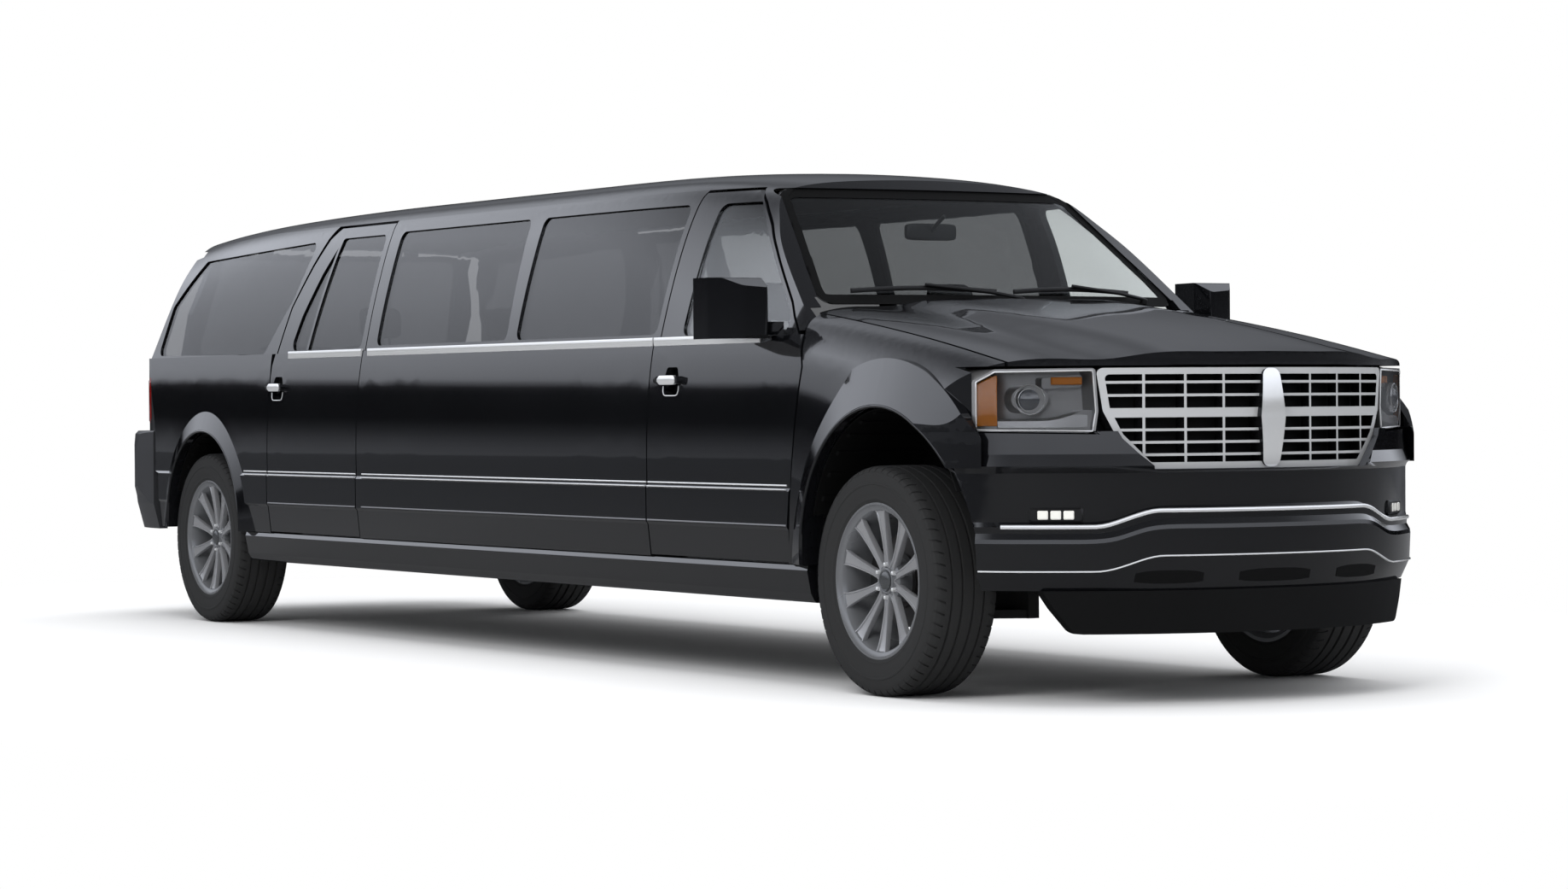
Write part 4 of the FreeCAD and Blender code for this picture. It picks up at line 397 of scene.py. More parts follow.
@dataclass
class Shape:
    """A mesh in the making: its points and its faces."""

    points: list[Vector] = field(default_factory=list)
    faces: list[tuple[int, ...]] = field(default_factory=list)

    def loft(self, rings: list[list[Point]], closed: bool = False) -> "Shape":
        """Joins closed rings of equal count into a skin.

        Args:
            rings: the rings, in order.
            closed: joins the last ring to the first; otherwise both ends are capped.

        Returns:
            The shape itself.
        """
        base, count = len(self.points), len(rings[0])
        self.points += [Vector(p) for ring in rings for p in ring]
        spans = len(rings) if closed else len(rings) - 1
        for i in range(spans):
            a, b = base + i * count, base + (i + 1) % len(rings) * count
            self.faces += [(a + k, a + (k + 1) % count, b + (k + 1) % count, b + k) for k in range(count)]
        if not closed:
            self.faces.append(tuple(base + k for k in reversed(range(count))))
            self.faces.append(tuple(base + (len(rings) - 1) * count + k for k in range(count)))
        return self

    def spin(self, profile: list[tuple[float, float]], steps: int = 96, start: float = 0.0,
             sweep: float = 360.0) -> "Shape":
        """Turns a closed profile of (radius, y) about the Y axis.

        Args:
            profile: the closed profile; points with a radius of 0 lie on the axis.
            steps: how many steps make the sweep.
            start: the first angle in degrees from the top.
            sweep: the angle that it turns through.

        Returns:
            The shape itself.
        """
        whole = abs(sweep) >= 360
        angles = [math.radians(start + sweep * k / steps) for k in range(steps if whole else steps + 1)]
        return self.loft([[(r * math.sin(a), y, r * math.cos(a)) for r, y in profile] for a in angles], whole)

    def block(self, low: Point, high: Point, round_off: float = 0.0) -> "Shape":
        """Adds a box with chamfered long edges.

        Args:
            low: its lowest corner.
            high: its highest corner.
            round_off: how far the corners are drawn in.

        Returns:
            The shape itself.
        """
        (x0, y0, z0), (x1, y1, z1) = low, high
        r = min(round_off, (x1 - x0) / 2.2, (y1 - y0) / 2.2, (z1 - z0) / 2.2)
        rings = []
        for x, d in ((x0, r), (x0 + r, 0.0), (x1 - r, 0.0), (x1, r)):
            rings.append([(x, y0 + d, z0 + r + d), (x, y0 + r + d, z0 + d), (x, y1 - r - d, z0 + d),
                          (x, y1 - d, z0 + r + d), (x, y1 - d, z1 - r - d), (x, y1 - r - d, z1 - d),
                          (x, y0 + r + d, z1 - d), (x, y0 + d, z1 - r - d)])
        return self.loft(rings)

    def rod(self, path: list[Point], radius: float, sides: int = 12) -> "Shape":
        """Adds a round rod along a path.

        Args:
            path: its centre line.
            radius: its radius.
            sides: the sides of its section.

        Returns:
            The shape itself.
        """
        line = [Vector(p) for p in path]
        rings, lift = [], Vector((0.0, 0.0, 1.0))
        for k, here in enumerate(line):
            along = (line[min(k + 1, len(line) - 1)] - line[max(k - 1, 0)]).normalized()
            if abs(along.dot(lift)) > 0.95:
                lift = Vector((0.0, 1.0, 0.0))
            across = along.cross(lift).normalized()
            up = across.cross(along)
            rings.append([here + radius * (math.cos(t) * across + math.sin(t) * up)
                          for t in (2 * math.pi * i / sides for i in range(sides))])
        return self.loft(rings)

    def add(self, other: "Shape") -> "Shape":
        """Adds a copy of another shape."""
        base = len(self.points)
        self.points += [p.copy() for p in other.points]
        self.faces += [tuple(base + i for i in face) for face in other.faces]
        return self

    def moved(self, matrix: Matrix) -> "Shape":
        """Returns a copy moved by a matrix, turned outwards again if the matrix mirrors."""
        flip = matrix.determinant() < 0
        faces = [tuple(reversed(face)) for face in self.faces] if flip else list(self.faces)
        return Shape([matrix @ p for p in self.points], faces)

    def mirrored(self) -> "Shape":
        """Returns a copy on the other side of the vehicle."""
        return self.moved(Matrix.Diagonal((1, -1, 1, 1)))

    def mesh(self, name: str) -> bpy.types.Mesh:
        """Makes the mesh with its doubles merged and its faces outwards."""
        made = bpy.data.meshes.new(name)
        made.from_pydata(self.points, [], self.faces)
        tidy = bmesh.new()
        tidy.from_mesh(made)
        bmesh.ops.remove_doubles(tidy, verts=tidy.verts, dist=1e-6)
        bmesh.ops.dissolve_degenerate(tidy, edges=tidy.edges, dist=1e-6)
        bmesh.ops.recalc_face_normals(tidy, faces=tidy.faces)
        tidy.to_mesh(made)
        tidy.free()
        return made


def place(name: str, mesh: bpy.types.Mesh, finish: Look, body: str,
          sharp: float = 34.0) -> bpy.types.Object:
    """Hangs a mesh on a body as a finished piece.

    Args:
        name: the piece's name.
        mesh: its mesh, already where it belongs.
        finish: its finish.
        body: the body that it rides on.
        sharp: edges that turn by more degrees than this stay sharp.

    Returns:
        The piece.
    """
    piece = bpy.data.objects.new(name, mesh)
    bpy.context.scene.collection.objects.link(piece)
    mesh.materials.clear()
    mesh.materials.append(finish.material())
    mesh.shade_smooth()
    mesh.set_sharp_from_angle(angle=math.radians(sharp))
    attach(piece, body)
    return piece


def baked(piece: bpy.types.Object) -> bpy.types.Mesh:
    """Returns a piece's mesh as its modifiers leave it."""
    graph = bpy.context.evaluated_depsgraph_get()
    return bpy.data.meshes.new_from_object(piece.evaluated_get(graph))


class Repeats:
    """Geometry Nodes trees for what repeats round an axle, repeats in a row or follows a line."""

    def __init__(self) -> None:
        """Builds the three trees."""
        self.ring_tree = self._ring()
        self.row_tree = self._row()
        self.moulding_tree = self._moulding()

    def _start(self, name: str, inputs: dict[str, str]) -> tuple[bpy.types.NodeTree, bpy.types.Node]:
        """Starts a tree with a geometry input and more, and returns it with its input node."""
        tree = bpy.data.node_groups.new(name, "GeometryNodeTree")
        tree.interface.new_socket("Geometry", in_out="INPUT", socket_type="NodeSocketGeometry")
        for key, kind in inputs.items():
            tree.interface.new_socket(key, in_out="INPUT", socket_type="NodeSocket" + kind)
        tree.interface.new_socket("Geometry", in_out="OUTPUT", socket_type="NodeSocketGeometry")
        return tree, tree.nodes.new("NodeGroupInput")

    def _end(self, tree: bpy.types.NodeTree, source: bpy.types.Node, geometry: bpy.types.NodeSocket) -> None:
        """Ends a tree in Realize Instances and Set Material."""
        real = tree.nodes.new("GeometryNodeRealizeInstances")
        paint = tree.nodes.new("GeometryNodeSetMaterial")
        sink = tree.nodes.new("NodeGroupOutput")
        tree.links.new(geometry, real.inputs[0])
        wire(tree, (real, 0, paint, "Geometry"), (source, "Material", paint, "Material"),
                   (paint, 0, sink, 0))

    def _copies(self, tree: bpy.types.NodeTree, source: bpy.types.Node) -> tuple[bpy.types.Node, ...]:
        """Adds Count points with the incoming geometry on each, and their index."""
        points = tree.nodes.new("GeometryNodePoints")
        spread = tree.nodes.new("GeometryNodeInstanceOnPoints")
        index = tree.nodes.new("GeometryNodeInputIndex")
        wire(tree, (source, "Count", points, "Count"), (points, 0, spread, "Points"),
                   (source, "Geometry", spread, "Instance"))
        return points, spread, index

    def _ring(self) -> bpy.types.NodeTree:
        """Copies the geometry round the Y axis."""
        tree, source = self._start("copies_in_ring", {"Count": "Int", "Step": "Float",
                                                      "Material": "Material"})
        _, spread, index = self._copies(tree, source)
        turn = add_node(tree, "ShaderNodeMath", operation="MULTIPLY")
        axis = tree.nodes.new("ShaderNodeCombineXYZ")
        wire(tree, (index, 0, turn, 0), (source, "Step", turn, 1), (turn, 0, axis, "Y"),
                   (axis, 0, spread, "Rotation"))
        self._end(tree, source, spread.outputs[0])
        return tree

    def _row(self) -> bpy.types.NodeTree:
        """Copies the geometry along a step."""
        tree, source = self._start("copies_in_row", {"Count": "Int", "Step": "Vector",
                                                     "Material": "Material"})
        points, spread, index = self._copies(tree, source)
        reach = add_node(tree, "ShaderNodeVectorMath", operation="SCALE")
        wire(tree, (source, "Step", reach, 0), (index, 0, reach, "Scale"), (reach, 0, points, "Position"))
        self._end(tree, source, spread.outputs[0])
        return tree

    def _moulding(self) -> bpy.types.NodeTree:
        """Runs a rounded rectangular section along the incoming edges."""
        tree, source = self._start("moulding", {"Height": "Float", "Depth": "Float", "Rounding": "Float",
                                                "Material": "Material"})
        line = tree.nodes.new("GeometryNodeMeshToCurve")
        upright = add_node(tree, "GeometryNodeSetCurveNormal", mode="Z_UP")
        section = tree.nodes.new("GeometryNodeCurvePrimitiveQuadrilateral")
        fillet = add_node(tree, "GeometryNodeFilletCurve", mode="POLY")
        fillet.inputs["Count"].default_value = 2
        sweep = tree.nodes.new("GeometryNodeCurveToMesh")
        sweep.inputs["Fill Caps"].default_value = True
        wire(tree, (source, "Geometry", line, 0), (line, 0, upright, 0),
                   (source, "Depth", section, "Width"), (source, "Height", section, "Height"),
                   (section, 0, fillet, 0), (source, "Rounding", fillet, "Radius"),
                   (upright, 0, sweep, "Curve"), (fillet, 0, sweep, "Profile Curve"))
        self._end(tree, source, sweep.outputs[0])
        return tree

    def run(self, tree: bpy.types.NodeTree, mesh: bpy.types.Mesh, finish: Look,
            **sizes: float | int | Point) -> bpy.types.Mesh:
        """Runs a tree on a mesh and returns the plain mesh that it makes.

        Args:
            tree: one of the trees.
            mesh: the geometry that goes in.
            finish: the finish that it sets.
            **sizes: the tree's inputs by name.

        Returns:
            The new mesh.
        """
        carrier = bpy.data.objects.new("carrier", mesh)
        bpy.context.scene.collection.objects.link(carrier)
        step = carrier.modifiers.new("tree", "NODES")
        step.node_group = tree
        sockets = {s.name: s.identifier for s in tree.interface.items_tree if s.in_out == "INPUT"}
        step[sockets["Material"]] = finish.material()
        for key, value in sizes.items():
            step[sockets[key]] = value
        made = baked(carrier)
        carrier.modifiers.clear()
        bpy.data.objects.remove(carrier)
        return made

    def ring(self, shape: Shape, count: int, finish: Look, step: float = 0.0) -> Shape:
        """Returns a shape copied round the Y axis, evenly unless a step in degrees is given."""
        turn = math.radians(step) if step else 2 * math.pi / count
        return shape_of(self.run(self.ring_tree, shape.mesh("one"), finish, Count=count, Step=turn))

    def row(self, shape: Shape, count: int, step: Point, finish: Look) -> Shape:
        """Returns a shape copied along a step."""
        return shape_of(self.run(self.row_tree, shape.mesh("one"), finish, Count=count, Step=step))

    def moulding(self, line: list[Point], height: float, depth: float, rounding: float,
                 finish: Look) -> Shape:
        """Returns a moulding along an open line: height across it and upwards, depth across and sideways."""
        path = bpy.data.meshes.new("line")
        path.from_pydata(line, [(k, k + 1) for k in range(len(line) - 1)], [])
        made = self.run(self.moulding_tree, path, finish, Height=height, Depth=depth, Rounding=rounding)
        return shape_of(made)


def on_side(shape: Shape, side: Side) -> Shape:
    """Returns a shape that was made for the right, on the side that is asked for."""
    return shape if side is Side.RIGHT else shape.mirrored()


def shape_of(mesh: bpy.types.Mesh) -> Shape:
    """Returns a mesh as a shape."""
    return Shape([v.co.copy() for v in mesh.vertices], [tuple(p.vertices) for p in mesh.polygons])


@dataclass
class Skin:
    """The outer surface of some solids, probed by rays."""

    nodes: tuple[str, ...]

    def __post_init__(self) -> None:
        """Reads the solids' triangles."""
        points: list[Vector] = []
        faces: list[tuple[int, ...]] = []
        for name in self.nodes:
            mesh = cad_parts[name].data
            base = len(points)
            points += [v.co.copy() for v in mesh.vertices]
            faces += [tuple(base + i for i in p.vertices) for p in mesh.polygons]
        self.tree = BVHTree.FromPolygons(points, faces)

    def side(self, x: float, z: float, side: Side = Side.RIGHT, shy: float = 0.8) -> Vector | None:
        """Where the side's skin is at a station and height, or None where it lies deeper than shy."""
        hit = self.tree.ray_cast(Vector((x, side.value * 1.5, z)), Vector((0, -side.value, 0)))[0]
        return hit if hit is not None and abs(hit.y) > shy else None

    def front(self, y: float, z: float) -> Vector | None:
        """Where the skin is, seen from ahead."""
        return self.tree.ray_cast(Vector((6.0, y, z)), Vector((-1, 0, 0)))[0]

    def back(self, y: float, z: float) -> Vector | None:
        """Where the skin is, seen from behind."""
        return self.tree.ray_cast(Vector((-6.0, y, z)), Vector((1, 0, 0)))[0]

    def run(self, z: float, start: float, end: float, side: Side, step: float = 0.02) -> list[Vector]:
        """The side's surface points along a height, from a station forward to another."""
        count = max(1, round((end - start) / step))
        found = [self.side(start + (end - start) * k / count, z, side) for k in range(count + 1)]
        return [p for p in found if p is not None]


REPEATS = Repeats()


# Wheels

@dataclass
class Wheel:
    """One road wheel: grooved tyre, ten-spoke rim, lug nuts and a vented brake disc.

    Attributes:
        radius: the tyre's radius.
        bead: the radius where tyre and rim meet.
        spokes: how many spokes there are.
        lugs: how many tread blocks each shoulder has.
        nuts: how many lug nuts hold the wheel.
        out: the wheel centre's distance from the vehicle's middle.
        spoke_line: a spoke along its length, as (radius, half width, how far out its face is).
    """

    radius: float = 0.4055
    bead: float = 0.268
    spokes: int = 10
    lugs: int = 60
    nuts: int = 6
    out: float = 0.851
    spoke_line: tuple[tuple[float, float, float], ...] = (
        (0.040, 0.019, 0.0780), (0.062, 0.0135, 0.0790), (0.095, 0.0130, 0.0815), (0.130, 0.0145, 0.0855),
        (0.165, 0.0170, 0.0905), (0.200, 0.0205, 0.0960), (0.228, 0.0245, 0.1010), (0.244, 0.0290, 0.1045),
        (0.252, 0.0350, 0.1070), (0.257, 0.0420, 0.1085))

    def build(self) -> None:
        """Builds the pieces once and hangs them on all four wheel bodies."""
        parts = {"tyre": (self._tyre(), RUBBER, 24.0), "tread": (self._shoulder_blocks(), RUBBER, 24.0),
                 "rim": (self._barrel(), ALLOY, 30.0), "spokes": (self._spoke_star(), SPOKE_ALLOY, 40.0),
                 "hub": (self._hub(), ALLOY, 30.0), "cap": (self._cap(), CAP_BLACK, 30.0),
                 "nuts": (self._lug_nuts(), CHROME, 30.0), "disc": (self._disc(), DISC_STEEL, 30.0)}
        for end, station in (("front", FRONT_X), ("rear", REAR_X)):
            for side in Side:
                matrix = Matrix.Translation((station, side.value * self.out, self.radius))
                matrix = matrix @ Matrix.Diagonal((1, -side.value, 1, 1))
                body = f"{end}_wheel_{side.word}"
                made = {key: place(f"{key}_{end}_{side.word}_wheel", shape.moved(matrix).mesh(key), finish,
                                   body, sharp)
                        for key, (shape, finish, sharp) in parts.items()}
                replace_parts(made["tyre"], f"tyre_{end}_{side.word}")
                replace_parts(made["rim"], f"rim_{end}_{side.word}")
                carrier = f"knuckle_{side.word}" if end == "front" else "chassis"
                place(f"caliper_{end}_{side.word}", self._caliper().moved(matrix).mesh("caliper"), IRON,
                      carrier)
        LOG.info("wheels: %d pieces a wheel", len(parts))

    def _tread_profile(self) -> list[tuple[float, float]]:
        """The tyre's closed section as (radius, y), with four grooves round the tread."""
        grooves = ((-0.0660, 0.0052), (-0.0235, 0.0058), (0.0235, 0.0058), (0.0660, 0.0052))
        line = [(self.bead - 0.006, -0.106), (self.bead + 0.004, -0.1165), (0.283, -0.1215), (0.288, -0.1245),
                (0.292, -0.1240), (0.305, -0.1275), (0.322, -0.1300), (0.338, -0.1308), (0.3405, -0.1330),
                (0.3465, -0.1330), (0.349, -0.1310), (0.366, -0.1300), (0.380, -0.1275), (0.389, -0.1225),
                (0.3945, -0.1155), (0.3975, -0.1040), (0.3985, -0.0900)]
        crown = [(0.4042, -0.0895)]
        for y, half in grooves:
            top = self.radius - 0.0012 * (abs(y) / 0.09) ** 2
            crown += [(top, y - half), (top - 0.0085, y - half * 0.55), (top - 0.0085, y + half * 0.55),
                      (top, y + half)]
        crown.append((0.4042, 0.0895))
        other = [(r, -y) for r, y in reversed(line)]
        inside = [(self.bead + 0.012, 0.094), (self.bead + 0.012, -0.094)]
        return line + crown + other + inside

    def _tyre(self) -> Shape:
        """The tyre's carcass, with sidewall rings and grooves."""
        return Shape().spin(self._tread_profile(), 120)

    def _shoulder_blocks(self) -> Shape:
        """Slanted tread blocks round both shoulders."""
        step = 2 * math.pi / self.lugs
        block = Shape()
        for sign in (-1, 1):
            rings = []
            for part in range(5):
                turn = step * (part / 4 - 0.5) * 0.84
                top = ((0.4040, 0.0880), (0.4036, 0.1000), (0.4005, 0.1120), (0.3940, 0.1215),
                       (0.3830, 0.1275))
                foot = ((0.3780, 0.1240), (0.3900, 0.1100), (0.3950, 0.0880))
                ring = []
                for r, y in top + foot:
                    lean = turn + (y - 0.088) * 0.9 * sign
                    ring.append((r * math.sin(lean), sign * y, r * math.cos(lean)))
                rings.append(ring if sign < 0 else list(reversed(ring)))
            block.loft(rings)
        return REPEATS.ring(block, self.lugs, RUBBER)

    def _barrel(self) -> Shape:
        """The rim's barrel with its stepped outer lip."""
        section = [(0.2745, -0.1195), (0.2765, -0.1180), (0.2765, -0.1135), (0.2690, -0.1100),
                   (0.2600, -0.1050), (0.2480, -0.0950), (0.2440, -0.0600), (0.2460, 0.0800),
                   (0.2600, 0.1050), (0.2760, 0.1140), (0.2760, 0.1195), (0.2620, 0.1190), (0.2420, 0.1000),
                   (0.2380, 0.0600), (0.2360, -0.0600), (0.2440, -0.0880), (0.2475, -0.1040),
                   (0.2505, -0.1075), (0.2600, -0.1105), (0.2660, -0.1150), (0.2690, -0.1195)]
        return Shape().spin(section, 120)

    def _spoke_star(self) -> Shape:
        """Ten spokes that widen outwards, each with raised edges and a sunk middle."""
        rings = []
        for r, half, out in self.spoke_line:
            edge = min(0.0055, half * 0.36)
            deep = 0.030 - 0.010 * (r / 0.25)
            ring = [(-half + 0.003, -out + deep), (-half, -out + 0.004), (-half + 0.0016, -out),
                    (-half + edge, -out), (-half + edge + 0.0022, -out + 0.0045),
                    (half - edge - 0.0022, -out + 0.0045), (half - edge, -out), (half - 0.0016, -out),
                    (half, -out + 0.004), (half - 0.003, -out + deep)]
            rings.append([(x, y, r) for x, y in ring])
        return REPEATS.ring(Shape().loft(rings), self.spokes, SPOKE_ALLOY)

    def _hub(self) -> Shape:
        """The hub's dished face."""
        section = [(0.0, -0.070), (0.036, -0.070), (0.036, -0.0815), (0.041, -0.0840), (0.0455, -0.0830),
                   (0.0480, -0.0760), (0.0660, -0.0735), (0.0740, -0.0690), (0.0780, -0.0560),
                   (0.0780, 0.0100), (0.0, 0.0100)]
        return Shape().spin(section, 72)

    def _cap(self) -> Shape:
        """The plain centre cap: a shallow dome in a thin rim."""
        section = [(0.0, -0.0905), (0.012, -0.0902), (0.024, -0.0888), (0.0315, -0.0862), (0.0335, -0.0872),
                   (0.0358, -0.0868), (0.0362, -0.0800), (0.0362, -0.0720), (0.0, -0.0720)]
        return Shape().spin(section, 64)

    def _lug_nuts(self) -> Shape:
        """Six-sided nuts with domed ends."""
        corners = [(math.cos(math.radians(60 * i)), math.sin(math.radians(60 * i))) for i in range(6)]
        rings = [[(0.0088 * k * c, y, 0.058 + 0.0088 * k * s) for c, s in corners]
                 for y, k in ((-0.066, 1.0), (-0.0845, 1.0), (-0.0885, 0.72), (-0.0900, 0.3))]
        return REPEATS.ring(Shape().loft(rings), self.nuts, CHROME)

    def _disc(self) -> Shape:
        """A vented brake disc: two faces with vanes between them and a top hat."""
        face = Shape().spin([(0.095, -0.008), (0.165, -0.008), (0.165, -0.001), (0.095, -0.001)], 72)
        face.spin([(0.095, 0.007), (0.165, 0.007), (0.165, 0.014), (0.095, 0.014)], 72)
        face.spin([(0.060, -0.020), (0.096, -0.018), (0.098, -0.001), (0.092, -0.001), (0.090, -0.012),
                   (0.060, -0.012)], 72)
        vane = Shape().block((-0.0018, -0.0015, 0.100), (0.0018, 0.0075, 0.163))
        return face.add(REPEATS.ring(vane, 36, DISC_STEEL))

    def _caliper(self) -> Shape:
        """A caliper that straddles the disc's upper rear edge."""
        profile = [(0.120, -0.034), (0.176, -0.034), (0.186, -0.022), (0.186, 0.030), (0.176, 0.044),
                   (0.120, 0.044), (0.120, 0.020), (0.170, 0.020), (0.170, -0.014), (0.120, -0.014)]
        return Shape().spin(profile, 10, -105.0, 50.0)


# Body trim and lamps

def nose_x(half_width: float) -> float:
    """How far the nose's outline reaches ahead of the front axle at a half width."""
    places = ((0.0, 0.985), (0.3, 0.950), (0.612, 0.826), (0.8, 0.690), (0.905, 0.578), (0.96, 0.470),
              (1.016, 0.120))
    y = min(abs(half_width), 1.01)
    for k in range(len(places) - 1):
        if y <= places[k + 1][0]:
            break
    before, after = places[max(k - 1, 0)], places[min(k + 2, len(places) - 1)]
    (y0, x0), (y1, x1) = places[k], places[k + 1]
    t = (y - y0) / (y1 - y0)
    m0 = (x1 - before[1]) / (y1 - before[0]) * (y1 - y0) if k else 0.0
    m1 = (after[1] - x0) / (after[0] - y0) * (y1 - y0)
    return ((2 * t**3 - 3 * t**2 + 1) * x0 + (t**3 - 2 * t**2 + t) * m0 + (3 * t**2 - 2 * t**3) * x1
            + (t**3 - t**2) * m1)


def swept(middle: float, side: float, half_width: float) -> float:
    """A bumper line's height: level in the middle, a slope, then level again."""
    share = max(0.0, min(1.0, (abs(half_width) - 0.43) / 0.21))
    return middle + (side - middle) * share * share * (3 - 2 * share)


@dataclass
class SideBrightwork:
    """Belt strip, double sill trim, a bright low line that paints the lower crease's highlight, and arch lips
    along both sides.

    Attributes:
        sill_z: the low line's height; the low line is a bright strip that paints the highlight on the lower
            door crease.
        belt_z: the belt strip's middle height.
        trim_z: the double trim's middle height.
        belt: the belt strip's stretch on each panel, as (node, body, rear, front), ahead of the front axle.
        trim: the same for the double trim, and its first three for the low line.
        arches: each wheel arch, as (node, station, height, radius, first and last degrees from the top).
    """

    sill_z: float = 0.588
    belt_z: float = 1.2715
    trim_z: float = 0.7255
    belt: tuple[tuple[str, str, float, float], ...] = (
        ("door_front_{s}", "front_door_{s}", -1.606, -0.800), ("stretch_panels", "chassis", -4.296, -1.618),
        ("door_rear_{s}", "rear_door_{s}", -5.106, -4.304))
    trim: tuple[tuple[str, str, float, float], ...] = (
        ("door_front_{s}", "front_door_{s}", -1.604, -0.560), ("stretch_panels", "chassis", -4.295, -1.618),
        ("door_rear_{s}", "rear_door_{s}", -5.275, -4.305), ("quarter_panels", "chassis", -5.560, -5.291))
    arches: tuple[tuple[str, str, float, float, float, float, float], ...] = (
        ("front", "front_fenders", FRONT_X + 0.070, 0.508, 0.508, -84.0, 72.0),
        ("rear", "quarter_panels", REAR_X + 0.030, 0.477, 0.440, -78.0, 82.0))

    def build(self) -> None:
        """Builds the strips of both sides."""
        kinds = (("belt", self.belt_z, self.belt, 0.034, 0.0045),
                 ("trim_upper", self.trim_z + 0.0075, self.trim, 0.0065, 0.003),
                 ("trim_lower", self.trim_z - 0.0075, self.trim, 0.0045, 0.003),
                 ("sill_line", self.sill_z, self.trim[:3], 0.0060, 0.0015))
        count = 0
        for side in Side:
            for kind, z, stretches, height, proud in kinds:
                for node, body, rear, front in stretches:
                    node, body = node.format(s=side.word), body.format(s=side.word)
                    count += self._strip(f"{kind}_{node}_{side.word}", node, body, z, rear, front, side,
                                         height, proud)
            for name, node, x, z, radius, first, last in self.arches:
                self._arch(f"arch_lip_{name}_{side.word}", node, x, z, radius, first, last, side)
        LOG.info("side brightwork: %d strips", count)

    def _strip(self, name: str, node: str, body: str, z: float, rear: float, front: float, side: Side,
               height: float, proud: float) -> int:
        """One strip along a panel, and 1 if it was made."""
        skin = Skin((node,))
        found = skin.run(z - 0.006, fx(rear), fx(front), side, 0.06)
        if len(found) < 2:
            return 0
        line = [(p.x, p.y + side.value * (proud - 0.005), z) for p in found]
        # The low line's bright grey is a painted highlight on the crease; the other strips are chrome.
        finish = SILL_HIGHLIGHT if name.startswith("sill") else CHROME
        strip = REPEATS.moulding(line, height, 0.012, min(height * 0.4, 0.004), finish)
        place(name, strip.mesh(name), finish, body, 30.0)
        return 1

    def _arch(self, name: str, node: str, x: float, z: float, radius: float, first: float, last: float,
              side: Side) -> None:
        """A rolled lip round a wheel arch, just inside the flare's edge."""
        skin, line = Skin((node, "front_bumper") if "front" in name else (node,)), []
        for k in range(41):
            turn = math.radians(first + (last - first) * k / 40)
            at = (x + (radius + 0.010) * math.sin(turn), z + (radius + 0.010) * math.cos(turn))
            hit = skin.side(at[0], at[1], side, 0.85)
            if hit is not None:
                line.append((x + (radius + 0.003) * math.sin(turn), hit.y - side.value * 0.004,
                             z + (radius + 0.003) * math.cos(turn)))
        lip = Shape().rod(line, 0.0065, 10)
        place(name, lip.mesh(name), PAINT, "chassis", 40.0)


